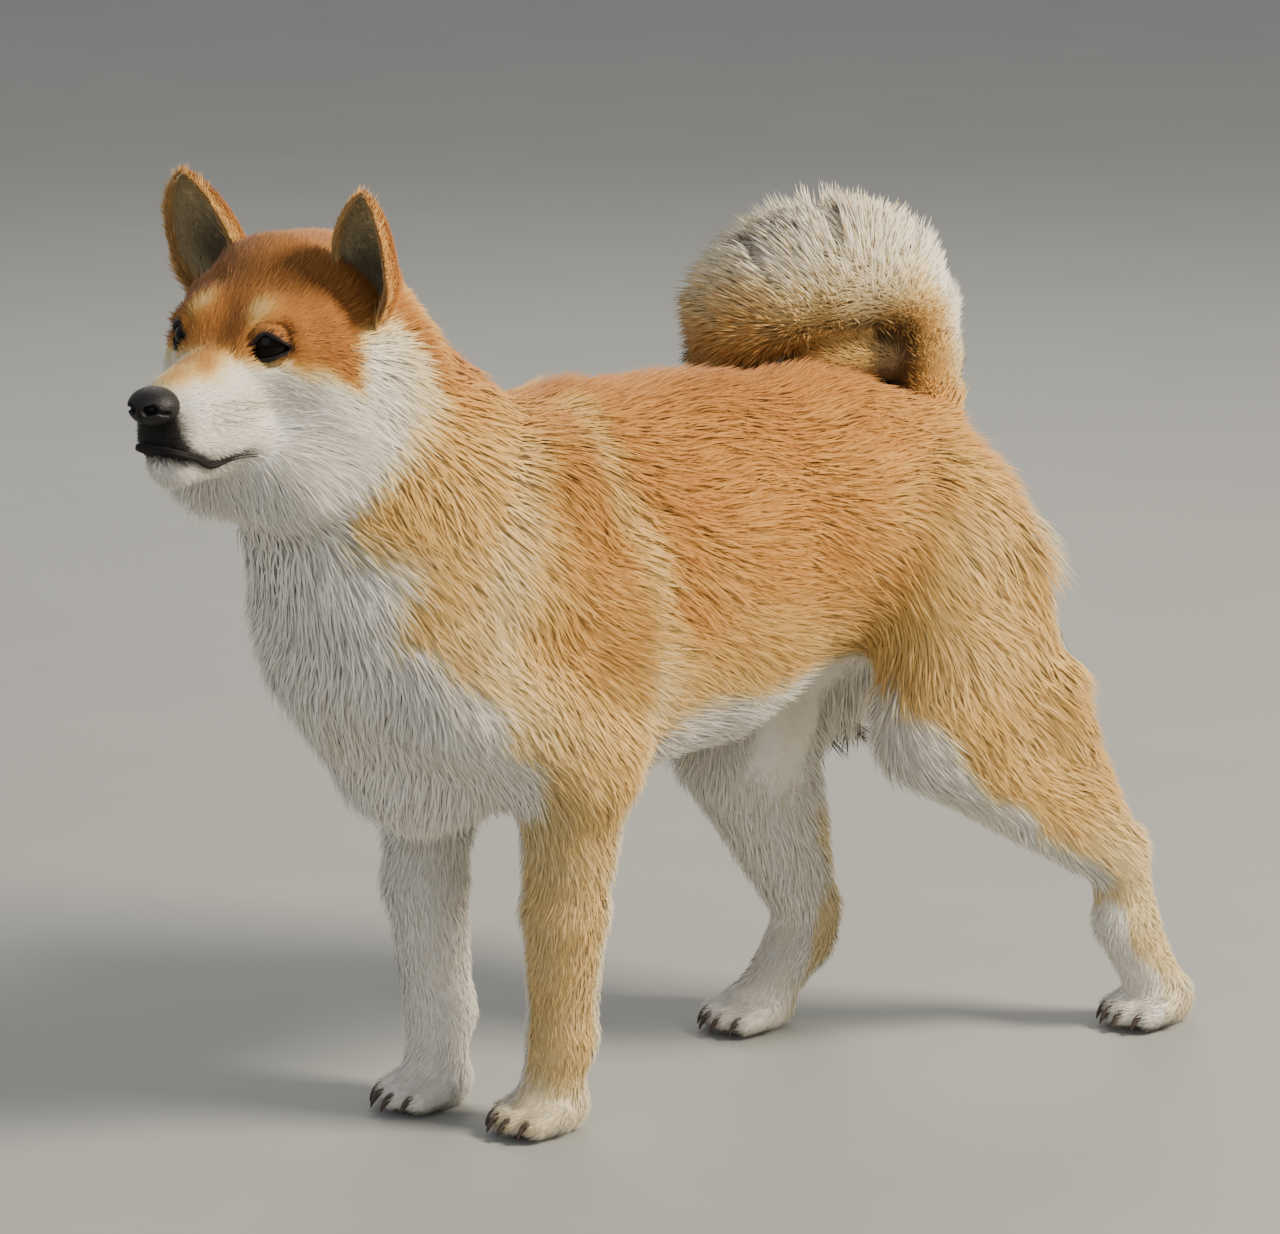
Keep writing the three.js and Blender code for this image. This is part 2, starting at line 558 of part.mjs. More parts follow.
// The head, with the eyes, ears and nose let into it.
let head = solid(wrap(wholeFlesh, [-275, -125, 340], [-30, 115, 520], 10.2)).intersect(headRegion(0));
const lips = loftSolid(tube(mouthPath(-0.6), 2.6, 5, 0.4), headFrame.matrixWorld);
const mouthLine = loftSolid(tube(mouthPath(1), 1.5, 4, 0.5), headFrame.matrixWorld);
head = head.add(lips).subtract(mouthLine).subtract(cleft());
for (const [name, side] of [["left", -1], ["right", 1]]) {
  head = head.add(eyeBall(side, EYE_RADIUS + 2, 12)).add(earShell(side));
  const ear = head.intersect(earRegion(side, 0)).subtract(earCup(side));
  head = head.subtract(earRegion(side, GAP)).subtract(earCup(side));
  dog.add(mesh("ear_" + name, ear, coat(RED)));
}
for (const [name, side] of [["left", -1], ["right", 1]]) {
  head = head.subtract(eyeBall(side, EYE_RADIUS + GAP, 14)).subtract(eyeOpening(side));
  dog.add(mesh("eye_" + name, eyeBall(side, EYE_RADIUS, 14), moist(0x1c120c)));
}
const nose = nosePad(0).subtract(nostril(-1)).subtract(nostril(1)).subtract(cleft());
dog.add(mesh("nose", nose, moist(BLACK)));
head = head.subtract(nosePad(GAP));
dog.add(mesh("head", head, coat(RED)));

// The tail, in three lengths. It lies on the back, which is cut out of it with a gap above.
const back = torso.translate([0, 0, 2 * GAP]);
const brush = tailLocks(6, 6);
const tailWhole = joined(solid(wrap(tailFlesh, [110, -50, 330], [335, 100, 500], 15)), brush);
const rootWhole = joined(solid(wrap(withTail(tail), [225, -60, 330], [340, 60, 440], 15)), brush.slice(0, 12));
dog.add(mesh("tail_root", rootWhole.intersect(rootRegion(0)).subtract(curlRegion(GAP)), coat(CREAM)));
const curl = tailWhole.subtract(back);
dog.add(mesh("tail_curl", curl.intersect(curlRegion(0)).subtract(tipRegion(GAP)), coat(RED), GAP / 3));
dog.add(mesh("tail_tip", curl.intersect(tipRegion(0)), coat(CREAM), GAP / 3));

// The legs, and the paws with their claws.
const legs = {
  foreleg_left: [-1, foreRegion, [-85, -115, 15], [75, -8, 262]],
  foreleg_right: [1, foreRegion, [-100, 8, 15], [60, 115, 262]],
  hindleg_left: [-1, hindRegion, [130, -120, 15], [430, -2, 340]],
  hindleg_right: [1, hindRegion, [130, 2, 15], [350, 120, 340]],
};
const breeches = {
  hindleg_left: [[[292, -54, 268], [318, -58, 190]], [0.45, 0, -1], 2],
  hindleg_right: [[[266, 54, 246], [258, 58, 206]], [-0.4, 0, -1], 2],
};
const footFields = Object.values(paws).map(field);
for (const [name, [side, region, low, high]] of Object.entries(legs)) {
  const cell = name.startsWith("fore") ? 14.5 : 16.4;
  const limb = solid(wrap((p) => footFields.reduce((d, f) => melt(d, f(p), 8), bodyFlesh(p)), low, high, cell));
  const thigh = breeches[name] ? joined(limb, breechLocks(side, ...breeches[name])) : limb;
  let cut = thigh.intersect(region(side, 0));
  for (const f of Object.values(feet)) cut = cut.subtract(pawRegion(f.x, f.side * f.y, GAP));
  dog.add(mesh(name, cut, coat(PALE)));
}
const claw = (f, place, grow) => {
  const x = f.x - toeReach(place);
  const y = f.side * f.y + place * 10.5;
  const path = [[2, 12, 2.6], [-6, 11.5, 2.5], [-10.5, 8, 1.9], [-12.5, 3.5, 0.9]];
  const rings = path.map(([dx, z, r]) =>
    circle(5).map((angle) => new THREE.Vector3(x + dx, y + (r + grow) * Math.cos(angle), z + (r + grow) * Math.sin(angle))),
  );
  return loftSolid(rings);
};
for (const [name, f] of Object.entries(feet)) {
  const foot = field(paws["paw_" + name]);
  const y = f.side * f.y;
  const whole = solid(wrap((p) => melt(bodyFlesh(p), foot(p), 8), [f.x - 46, y - 38, -14], [f.x + 46, y + 38, 50], 8.6));
  let made = whole.intersect(pawRegion(f.x, y, 0)).subtract(floorCut());
  TOES.forEach((place, n) => {
    made = made.subtract(claw(f, place, GAP));
    dog.add(mesh(`claw_${name}_${n + 1}`, claw(f, place, 0), moist(BLACK)));
  });
  dog.add(mesh("paw_" + name, made, coat(CREAM)));
}

// The middle of the whole box is set over the origin, with the soles on the floor.
const box = new THREE.Box3().setFromObject(dog);
const shift = box.getCenter(new THREE.Vector3()).setZ(box.min.z);
for (const part of dog.children) part.geometry.translate(-shift.x, -shift.y, -shift.z);

export default dog;
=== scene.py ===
# %% [markdown]
# # A shiba inu at life size
# The dog stands still on a plain floor. The solids give its outline out to the tips of the coat.
# Blender's own hair would be the usual way to make a coat, but it isn't a mesh, and other tools
# can't take it over. So one bare skin stands in for the solids here, and the hair on it is made
# as closed tufts that follow the lie of the coat and end at the outline of the solids.

# %% Start
import math

import bpy
import numpy as np
from mathutils import Matrix, Vector


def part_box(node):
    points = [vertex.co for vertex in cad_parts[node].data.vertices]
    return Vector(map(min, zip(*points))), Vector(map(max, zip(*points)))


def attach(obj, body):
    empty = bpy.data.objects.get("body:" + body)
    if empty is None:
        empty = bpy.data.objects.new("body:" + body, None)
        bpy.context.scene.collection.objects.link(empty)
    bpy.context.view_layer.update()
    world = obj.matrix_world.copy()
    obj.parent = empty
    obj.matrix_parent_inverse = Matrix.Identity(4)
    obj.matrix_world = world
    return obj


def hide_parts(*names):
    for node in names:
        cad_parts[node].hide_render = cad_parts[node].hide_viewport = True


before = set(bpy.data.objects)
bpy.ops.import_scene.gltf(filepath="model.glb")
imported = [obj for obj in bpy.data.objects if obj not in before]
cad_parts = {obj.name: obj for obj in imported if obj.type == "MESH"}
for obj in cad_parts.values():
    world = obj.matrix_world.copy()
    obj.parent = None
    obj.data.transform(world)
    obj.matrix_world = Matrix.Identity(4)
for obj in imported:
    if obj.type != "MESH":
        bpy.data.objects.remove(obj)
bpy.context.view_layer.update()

# Every random draw comes from one seeded source, so each run gives the same coat.
rng = np.random.default_rng(7)

# %% [markdown]
# ## Where things are
# All shapes are written in millimetres in the frame in which the solids were drawn: the dog faces
# -X, its left side is -Y, and the floor is at zero. The left eyeball tells how far the solids
# were moved to stand over the origin. The head could be shaped as it stands, but it is far easier
# to shape one that looks straight ahead, so it has a frame of its own, turned about the point
# between the eyes.

# %% Frames
HEAD_PLACE = np.array([-175.0, -15.0, 446.0])
YAW, PITCH, ROLL = 24, -3, 1.5
yaw, pitch, roll = (Matrix.Rotation(math.radians(angle), 3, axis)
                    for angle, axis in ((YAW, "Z"), (PITCH, "Y"), (ROLL, "X")))
HEAD_TURN = np.array(yaw @ pitch @ roll)
EYE_RADIUS = 12.0
EYE = np.array([1.0, 22.5, 2.0])


def from_head(p):
    """Points of the head's frame in the design frame."""
    return np.asarray(p, float) @ HEAD_TURN.T + HEAD_PLACE


def to_head(p):
    """Points of the design frame in the head's frame."""
    return (np.asarray(p, float) - HEAD_PLACE) @ HEAD_TURN


low, high = (np.array(corner) * 1000 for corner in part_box("eye_left"))
SHIFT = (low + high) / 2 - from_head(EYE * [1, -1, 1])
print("the solids were moved by", SHIFT.round(2), "mm")


def unit(v):
    """Vectors brought to length 1."""
    v = np.asarray(v, float)
    return v / np.maximum(np.linalg.norm(v, axis=-1, keepdims=True), 1e-9)


def smooth(v, a, b):
    """0 below a, 1 above b, and a soft step between."""
    t = np.clip((v - a) / (b - a), 0, 1)
    return t * t * (3 - 2 * t)


def eye_out(side):
    """The way that an eye looks, in the head's frame."""
    return unit([-0.84, side * 0.52, 0.12])


# %% [markdown]
# ## The flesh
# Under its coat the dog is bone, muscle and skin. It could be sculpted, or cut from the solids,
# but their surface is the outside of the coat. So it is made again as a smooth field of tapered
# muscles that are squeezed from the sides, the same as in the solids. Each is thinner by the
# depth of the coat over it, and carries the length of that hair and the way that it lies.

# %% One muscle
MUSCLES = []


def muscle(part, a, b, ra, rb, k, soft, depth, hair, lie=None, sides=(1,)):
    """A muscle from a to b, over the coat ra and rb thick, k times as wide as it is deep.

    It melts into its neighbours over soft millimetres. With no lie of its own, the hair on it lies
    from a towards b.
    """
    for side in sides:
        turn = np.array([1, side, 1])
        way = np.subtract(b, a) if lie is None else np.array(lie, float)
        MUSCLES.append({"part": part, "a": a * turn, "b": b * turn,
                        "ra": ra - depth, "rb": rb - depth, "k": k, "soft": soft,
                        "depth": depth, "hair": hair, "lie": unit(way * turn)})


# The left side and the right one.
BOTH = (-1, 1)
BACK = (1, 0, -0.3)
print("hair on the back lies along", unit(BACK).round(2))

# %% Trunk, neck and shoulders
muscle("trunk", [30, 0, 290], [110, 0, 297], 112, 104, 0.66, 20, 11, 27, BACK)
muscle("trunk", [110, 0, 297], [195, 0, 312], 104, 84, 0.7, 20, 10, 27, BACK)
muscle("trunk", [195, 0, 312], [244, 0, 318], 84, 62, 0.86, 20, 10, 27, BACK)
muscle("trunk", [30, 0, 290], [-60, 0, 290], 112, 84, 0.72, 20, 11, 28, (0.8, 0, -0.6))
muscle("trunk", [-64, 0, 290], [-46, 0, 238], 82, 73, 0.78, 20, 12, 30, (0.1, 0, -1))
muscle("trunk", [244, 0, 322], [282, 0, 362], 40, 21, 1, 16, 8, 26, (0.6, 0, 0.8))
muscle("neck", [-50, 0, 318], [-108, 6, 402], 93, 78, 0.86, 24, 15, 36, (0.6, 0, -0.8))
muscle("trunk", [-4, 40, 350], [-62, 44, 266], 40, 42, 1, 22, 9, 25, (0.5, 0, -0.9), BOTH)
muscle("trunk", [-62, 44, 266], [8, 50, 212], 42, 38, 1, 22, 9, 24, (0.5, 0, -0.9), BOTH)
print(len(MUSCLES), "muscles in trunk, neck and shoulders")

# %% Legs
for side, elbow, arm, wrist, foot in ((-1, 10, 7, 9, 4), (1, -16, -24, -19, -24)):
    muscle("leg", [elbow, 51, 205], [arm, 46, 125], 35, 25, 0.95, 20, 5, 17, (0.1, 0, -1), [side])
    muscle("leg", [arm, 46, 125], [wrist, 40, 54], 25, 20, 0.95, 8, 3, 11, None, [side])
    muscle("leg", [wrist, 40, 54], [foot, 37, 20], 20, 19, 1, 8, 3, 10, None, [side])
for side, thigh_to_foot in (
    (-1, [
        ([252, 42, 302], [258, 56, 220], 60, 50, 0.8, 26, 10, 28, (0.5, 0, -0.9)),
        ([286, 44, 275], [308, 56, 206], 42, 31, 0.8, 22, 8, 38, (0.5, 0, -0.9)),
        ([314, 58, 206], [368, 62, 112], 32, 17, 0.85, 18, 7, 24, None),
        ([244, 58, 196], [368, 62, 104], 39, 20, 0.85, 18, 6, 20, None),
        ([372, 62, 108], [380, 62, 66], 19, 19, 0.85, 8, 3, 10, None),
        ([378, 62, 66], [404, 60, 22], 20, 18, 0.9, 8, 3, 10, None),
    ]),
    (1, [
        ([238, 42, 302], [208, 56, 205], 60, 50, 0.8, 26, 10, 28, (0.3, 0, -1)),
        ([276, 44, 272], [257, 56, 200], 43, 31, 0.8, 22, 8, 38, (0.3, 0, -1)),
        ([198, 58, 172], [242, 61, 68], 47, 22, 0.85, 18, 6, 20, None),
        ([245, 61, 66], [240, 61, 50], 20, 20, 0.85, 8, 3, 10, None),
        ([240, 61, 50], [216, 60, 22], 21, 18, 0.9, 8, 3, 10, None),
    ]),
):
    for values in thigh_to_foot:
        muscle("leg", *values, [side])
print(len(MUSCLES), "muscles with the legs")

# %% Paws
# Side, place from front to back and from the middle outwards.
FEET = {"fore_left": (-1, 2, 37), "fore_right": (1, -26, 37),
        "hind_left": (-1, 404, 60), "hind_right": (1, 208, 60)}
# Toes lie side by side, counted in widths from the middle of the paw.
TOES = (-1.5, -0.5, 0.5, 1.5)
TOE_SPREAD = 10.5


def toe_reach(place):
    """How far a toe's tip lies in front of the middle of its paw: the two inner ones are longer."""
    return 24 if abs(place) < 1 else 18


for side, x, y in FEET.values():
    muscle("paw", [x + 6, side * y, 15], [x - 6, side * y, 13], 19, 18, 1, 6, 3, 9, (-0.6, 0, -0.5))
    for place in TOES:
        tip = [x - toe_reach(place), side * y + place * TOE_SPREAD, 9.5]
        muscle("paw", [x - 2, side * y + place * 9, 13], tip, 11, 9, 1, 3, 2.4, 8, (-1, 0, -0.3))
BODY_COUNT = len(MUSCLES)
print(BODY_COUNT, "muscles with the paws")

# %% Head
# Skull, forehead, muzzle, jaw, cheeks, jowls, brows, under the eyes, lips and lids, each in the
# head's own frame.
for values in (
    ([46, 0, 0], [66, 0, -4], 47, 52, 1.1, 10, 5, 15, (1, 0, 0), (1,)),
    ([20, 0, -4], [46, 0, 0], 32, 46, 1.08, 14, 3.2, 11, (1, 0, 0.5), (1,)),
    ([4, 0, -20], [-50, 0, -25], 27, 20, 1.04, 12, 2, 7, (1, 0, 0.1), (1,)),
    ([16, 0, -44], [-54, 0, -50], 25, 14.5, 1, 8, 2.4, 9, (1, 0, -0.2), (1,)),
    ([34, 30, -34], [66, 34, -26], 36, 38, 1, 16, 7, 24, (1, 0.35, -0.5), BOTH),
    ([16, 20, -62], [56, 30, -52], 35, 38, 1, 18, 9, 28, (0.7, 0.2, -0.8), BOTH),
    ([8, 17, 10], [24, 30, 12], 12, 14, 1, 10, 2.2, 9, (0.8, 0.3, 0.6), BOTH),
    ([4, 13, -8], [24, 24, -12], 19, 28, 1, 12, 2.2, 9, (1, 0.4, -0.2), BOTH),
    ([-58, 6, -37], [-12, 15, -42], 12, 14, 1, 6, 1.8, 7, (1, 0.2, -0.3), BOTH),
    (EYE, EYE + [1, 0, 0], 14.6, 14.6, 1, 14, 1.6, 8, (0.9, 0.4, 0.2), BOTH),
):
    muscle("head", *values)
HEAD_COUNT = len(MUSCLES)
print(HEAD_COUNT - BODY_COUNT, "muscles in the head")

# %% Tail
# Stations of the tail's own line with the radius of its brush, and the middle of the curl.
TAIL = ([282, 0, 350, 21], [283, 1, 388, 21], [279, 5, 419, 26], [259, 11, 442, 40],
        [228, 20, 447, 48], [200, 31, 437, 47], [182, 43, 420, 40], [176, 52, 402, 24])
CURL = np.array([238, 22, 405])
# Under the long hair of the brush lies undercoat so dense that it counts as body here. It is
# thickest on the inner side of the curl, where the hair is shorter.
for start, stop in zip(TAIL, TAIL[1:]):
    ends = [np.array(p[:3]) + unit(CURL - p[:3]) * max(p[3] - 24, 0) * 0.4 for p in (start, stop)]
    muscle("tail", *ends, 0.86 * start[3], 0.86 * stop[3], 1, 10, 0.26 * start[3],
           10 + 0.35 * start[3])
# What is seen through the curl is its own far side, in deep shade that is painted into its coat
# below.
muscle("tail", [272, 16, 394], [226, 22, 398], 22, 23, 1, 8, 5, 16, (-1, -0.2, 0.2))
print(len(MUSCLES), "muscles in all")

# %% [markdown]
# ## The field
# Muscles under skin run into one another with no seam. Metaballs or a remeshed union could do
# that, but neither lets each joint have its own softness. So the distance to the muscles is
# worked out on a grid, each muscle only in the box that it can reach. The sockets of the eyes are
# left open.

# %% Field
# Cells fine enough for the lips and brows, which the hair then covers.
CELL = 3.2
GRID_LOW = np.array([-290.0, -118.0, -10.0])
GRID_HIGH = np.array([440.0, 120.0, 505.0])
# A distance that stands for far away, the softness of the throat, the radius of an eye's socket,
# and how high the skin of the soles stays over the floor.
FAR, THROAT_SOFT, SOCKET_RADIUS, SOLE = 60, 20, 11.2, 0.8


def distance(m, p):
    """Distance from points to a muscle's surface."""
    bone = np.subtract(m["b"], m["a"]).astype(np.float32)
    q = p - np.asarray(m["a"], np.float32)
    t = np.clip((q @ bone) / max(float(bone @ bone), 1e-6), 0, 1)
    d = q - t[..., None] * bone
    squeezed = np.sqrt(d[..., 0] ** 2 + (d[..., 1] / m["k"]) ** 2 + d[..., 2] ** 2)
    true = np.sqrt((d ** 2).sum(-1))
    stretch = np.where(squeezed > 0, true / np.maximum(squeezed, 1e-6), 1)
    stretch = np.maximum(stretch, min(1, m["k"]))
    return (squeezed - (m["ra"] + (m["rb"] - m["ra"]) * t)) * stretch


def melt(a, b, soft):
    """The union of two fields, rounded over soft millimetres."""
    h = np.maximum(soft - np.abs(a - b), 0) / soft
    return np.minimum(a, b) - h * h * soft / 4


def is_head(n):
    """Whether muscle n is written in the head's frame."""
    return BODY_COUNT <= n < HEAD_COUNT


axes = [np.arange(GRID_LOW[i], GRID_HIGH[i] + CELL, CELL, dtype=np.float32) for i in range(3)]
shape = tuple(len(a) for a in axes)
fields = {name: np.full(shape, FAR, np.float32) for name in ("body", "head")}
for n, m in enumerate(MUSCLES):
    reach = max(m["ra"], m["rb"]) * max(1, m["k"]) + m["soft"] + 8
    ends = np.array([m["a"], m["b"]], float)
    ends = from_head(ends) if is_head(n) else ends
    box_low, box_high = ends.min(0) - reach, ends.max(0) + reach
    span = [slice(*np.searchsorted(axes[i], [box_low[i], box_high[i]])) for i in range(3)]
    here = np.stack(np.meshgrid(*(axes[i][span[i]] for i in range(3)), indexing="ij"), -1)
    if is_head(n):
        here = to_head(here).astype(np.float32)
    target = fields["head" if is_head(n) else "body"]
    target[tuple(span)] = melt(target[tuple(span)], distance(m, here), m["soft"])
value = melt(fields["body"], fields["head"], THROAT_SOFT)

# %% Sockets and soles
everywhere = np.stack(np.meshgrid(*axes, indexing="ij"), -1)
for side in BOTH:
    middle = EYE * [1, side, 1]
    socket = {"a": middle, "b": middle + eye_out(side) * 30,
              "ra": SOCKET_RADIUS, "rb": SOCKET_RADIUS, "k": 1}
    near = (np.abs(to_head(everywhere) - middle) < 45).all(-1)
    value[near] = np.maximum(value[near], -distance(socket, to_head(everywhere[near])))
value = np.maximum(value, SOLE - everywhere[..., 2])
del everywhere
print("grid of", shape, "cells of", CELL, "mm")


# %% [markdown]
# ## The skin
# The skin is one closed sheet over all of this. Marching cubes would give slivers, on which roots
# and markings spread unevenly. So the surface is wrapped with one point to each cell that it
# crosses, which gives even four-sided faces, and the points are then drawn onto it.

# %% Skin
def wrap(value, low, cell):
    """Points and four-sided faces round the cells in which value changes sign."""
    cells = tuple(n - 1 for n in value.shape)
    inside = value < 0
    total = np.zeros((int(np.prod(cells)), 3))
    count = np.zeros(int(np.prod(cells)))
    crossings = []
    for axis in range(3):
        first = tuple(slice(0, -1) if i == axis else slice(None) for i in range(3))
        second = tuple(slice(1, None) if i == axis else slice(None) for i in range(3))
        crossed = inside[first] != inside[second]
        index = np.argwhere(crossed)
        share = value[first][crossed] / (value[first][crossed] - value[second][crossed])
        place = index.astype(float)
        place[:, axis] += share
        u, v = (axis + 1) % 3, (axis + 2) % 3
        around = []
        for du, dv in ((0, 0), (1, 0), (1, 1), (0, 1)):
            cell_of = index.copy()
            cell_of[:, u] -= du
            cell_of[:, v] -= dv
            flat = np.ravel_multi_index(cell_of.T, cells, mode="clip")
            around.append(flat)
            for i in range(3):
                total[:, i] += np.bincount(flat, place[:, i], len(total))
            count += np.bincount(flat, minlength=len(count))
        crossings.append((np.stack(around, 1), inside[first][crossed]))
    used = count > 0
    number = np.cumsum(used) - 1
    points = total[used] / count[used, None] * cell + low
    faces = [np.where(here[:, None], number[around], number[around][:, ::-1])
             for around, here in crossings]
    return points, np.concatenate(faces)


def sample(grid, points):
    """Values of a grid at points, blended from the eight corners round each."""
    at = np.clip((points - GRID_LOW) / CELL, 0, np.array(grid.shape[:3]) - 1.001)
    base = at.astype(int)
    part = at - base
    made = 0
    for corner in np.ndindex(2, 2, 2):
        weight = np.prod(np.where(np.array(corner), part, 1 - part), axis=1)
        picked = grid[tuple((base + corner).T)]
        made = made + (picked.T * weight).T
    return made


points, quads = wrap(value, GRID_LOW, CELL)
# Two steps down the slope of the field draw the points onto its surface.
slope = np.stack(np.gradient(value, CELL), -1)
for _ in range(2):
    step = sample(slope, points)
    points -= step * (sample(value, points) / np.maximum((step ** 2).sum(1), 0.3))[:, None] * 0.6
normals = unit(sample(slope, points))
points[:, 2] = np.maximum(points[:, 2], 0.5)
print("skin:", len(points), "points,", len(quads), "faces")

# %% [markdown]
# ## The lie of the coat
# Hair lies back from the nose over neck, back and sides and down the legs, and changes little by
# little from one part to the next. It could be combed by hand in Blender, but that can't be
# written down. So each point of the skin takes the hair of the muscles that it is near: how long
# it is, how deep the coat lies and which way. Hair on the tail also leans away from the middle of
# its curl.

# %% Hair on the skin
part_names = ["trunk", "neck", "leg", "paw", "head", "tail"]
# The reach in millimetres over which one muscle's hair passes into the next one's.
BLEND = 5
weights = np.zeros((len(points), len(MUSCLES)), np.float32)
for n, m in enumerate(MUSCLES):
    here = to_head(points) if is_head(n) else points
    weights[:, n] = np.exp(-np.maximum(distance(m, here.astype(np.float32)), 0) / BLEND)
weights /= weights.sum(1, keepdims=True)
ways = np.array([HEAD_TURN @ m["lie"] if is_head(n) else m["lie"] for n, m in enumerate(MUSCLES)])
lie = weights @ ways
hair = weights @ np.array([m["hair"] for m in MUSCLES])
depth = weights @ np.array([m["depth"] for m in MUSCLES])
region = np.array([part_names.index(m["part"]) for m in MUSCLES])[weights.argmax(1)]
on_tail = weights[:, HEAD_COUNT:].sum(1)
# The brush of the tail fans out from the middle of its curl: 1 is its outer side, -1 its inner.
brush = np.einsum("ij,ij->i", unit(points - CURL), normals)
lie += on_tail[:, None] * unit(points - CURL + [0, 0, 12]) * 0.7
# Between the thighs the hair is short.
groin = smooth(np.abs(points[:, 1]), 32, 24) * smooth(points[:, 2], 245, 225)
groin *= smooth(points[:, 0], 120, 140)
hair *= 1 - 0.72 * groin
depth *= 1 - 0.72 * groin
# Under the tail the cream hair stands out as a tuft on each side.
rump = np.exp(-((points[:, 0] - 300) / 16) ** 2 - ((points[:, 2] - 308) / 16) ** 2)
rump *= np.abs(points[:, 1]) > 20
hair += 16 * rump
depth += 11 * rump
print("hair from", hair.min().round(1), "to", hair.max().round(1), "mm long")

# %% [markdown]
# ## Markings
# The coat is red over the head, back and outer sides. It is cream to white on the cheeks, throat,
# chest, belly, inner legs and the outer side of the curled tail, with paler bands on the
# shoulder, neck and haunch. This could be painted as a picture, but a picture would need a map
# without seams under every hair. So a number from 0, red, to 1, white, is worked out for each
# point of the skin from where it lies and which way it faces, and each tuft takes the number at
# its root.

# %% Markings of the body
# Pale bands on shoulder and neck: a line by place and height, its width and its strength.
BANDS = (
    ([(13, 400), (18, 365), (31, 323), (39, 274), (45, 206)], 9, 0.24),
    ([(-35, 381), (-56, 337), (-65, 286)], 14, 0.2),
)
# How far back the white of the throat and chest reaches, and that of each hind leg's front, by
# height.
CHEST_EDGE = ([200, 235, 257, 271, 292, 312, 344, 366, 400],
              [-45, -50, -54, -74, -92, -100, -110, -124, -140])
HIND_EDGE = {-1: ([0, 45, 81, 119, 160, 183, 210, 247, 300],
                  [408, 394, 368, 322, 272, 246, 224, 202, 190]),
             1: ([0, 41, 77, 110, 142, 200, 300], [214, 226, 238, 226, 212, 198, 190])}


def near_line(p, line):
    """Distance from points to a broken line, seen from the side."""
    best = np.full(len(p), 1e3)
    for (ax, az), (bx, bz) in zip(line, line[1:]):
        bone = np.array([bx - ax, bz - az])
        q = p[:, [0, 2]] - [ax, az]
        t = np.clip(q @ bone / (bone @ bone), 0, 1)
        best = np.minimum(best, np.linalg.norm(q - t[:, None] * bone, axis=1))
    return best


def markings(p, n):
    """How white the coat is at points p whose skin faces n."""
    # A wave of a few millimetres makes the edges uneven.
    wave = 4 * np.sin(p[:, 0] / 11 + 1) * np.sin(p[:, 2] / 13)
    wave += 3 * np.sin(p[:, 1] / 7 + p[:, 2] / 9)
    side = np.sign(p[:, 1])
    x, z = p[:, 0] + wave, p[:, 2] + wave
    # The red fades to gold down the sides, on the neck and on the haunch.
    white = 0.13 + 0.08 * smooth(z, 390, 290) + 0.18 * smooth(z, 300, 235)
    white += 0.24 * smooth(x, 20, -70) * smooth(z, 440, 390)
    white += 0.28 * np.exp(-((x - 256) / 46) ** 2 - ((z - 306) / 50) ** 2)
    white += 0.25 * smooth(z, 150, 108) * smooth(x, 150, 200)
    white += 0.1 * smooth(z, 230, 170) * smooth(x, 150, 100)
    for line, wide, much in BANDS:
        white += much * np.exp(-(near_line(p, line) / wide) ** 2) * (np.abs(p[:, 1]) > 8)
    # Throat and chest, belly, and the flank's lower edge.
    chest = smooth(np.interp(z, *CHEST_EDGE) - x, -18, 16)
    belly = smooth(z, 262, 230) * smooth(-n[:, 2], 0.2, 0.6)
    flank = 0.75 * smooth(z, 272, 224) * smooth(x, 45, 75) * smooth(x, 228, 196)
    flank *= smooth(z, 150, 190)
    flank *= np.abs(p[:, 1]) < 78
    # Legs: white inside, in front of the hind ones, and towards the feet.
    below = smooth(z, 215, 175)
    inner_fore = smooth(-side * n[:, 1], -0.1, 0.4)
    leg_fore = np.maximum(inner_fore, smooth(n[:, 0], 0.15, 0.65) * 0.8)
    leg_fore = np.where(side > 0, np.maximum(leg_fore, smooth(-n[:, 0], -0.2, 0.4)), leg_fore)
    hind_edge = np.where(side > 0, np.interp(z, *HIND_EDGE[1]), np.interp(z, *HIND_EDGE[-1]))
    streak = smooth(x - hind_edge, 4, 16) * smooth(z, 150, 110)
    inner_hind = smooth(-side * n[:, 1], 0.1, 0.55)
    leg_hind = np.maximum(inner_hind * (0.95 - 0.6 * streak), smooth(hind_edge - x, -8, 12))
    leg_hind *= smooth(z, 262, 226)
    legs = np.where(p[:, 0] < 120, leg_fore * below, leg_hind * (p[:, 0] > 150))
    rear = smooth(n[:, 0], 0.5, 0.85) * smooth(z, 228, 262) * smooth(z, 345, 318)
    rear *= smooth(x, 270, 300)
    rear *= 0.75
    feet = 0.8 * smooth(z, 62, 25)
    return np.clip(np.maximum.reduce([white, chest, belly, flank, legs, feet, rear]), 0, 1)


low_belly, facing_down = np.array([[100.0, 0, 200]]), np.array([[0.0, 0, -1]])
print("whiteness of the belly", markings(low_belly, facing_down).round(2))

# %% [markdown]
# ## Black skin
# The opening of each eye is a slanted almond on the front of the ball, and the mouth is a line
# round the muzzle. Beside both the skin is black, as it is on the front of the muzzle under the
# nose. The almond and the line are worked out once, so that the lids and lips that are built on
# them later and the black round them always fit. The mouth's line is drawn in straight and then
# pushed out until it lies on the coat.

# %% Almond of the eye
ALMOND = [(-10.5, -4.2), (-8, 0.6), (-5, 4.8), (-1.5, 6.6), (3, 4.9), (7.5, 1.8), (11, -1.6),
          (6.5, -4.4), (2, -6.3), (-3, -6.8), (-7.5, -6)]
RIM_POINTS = 64


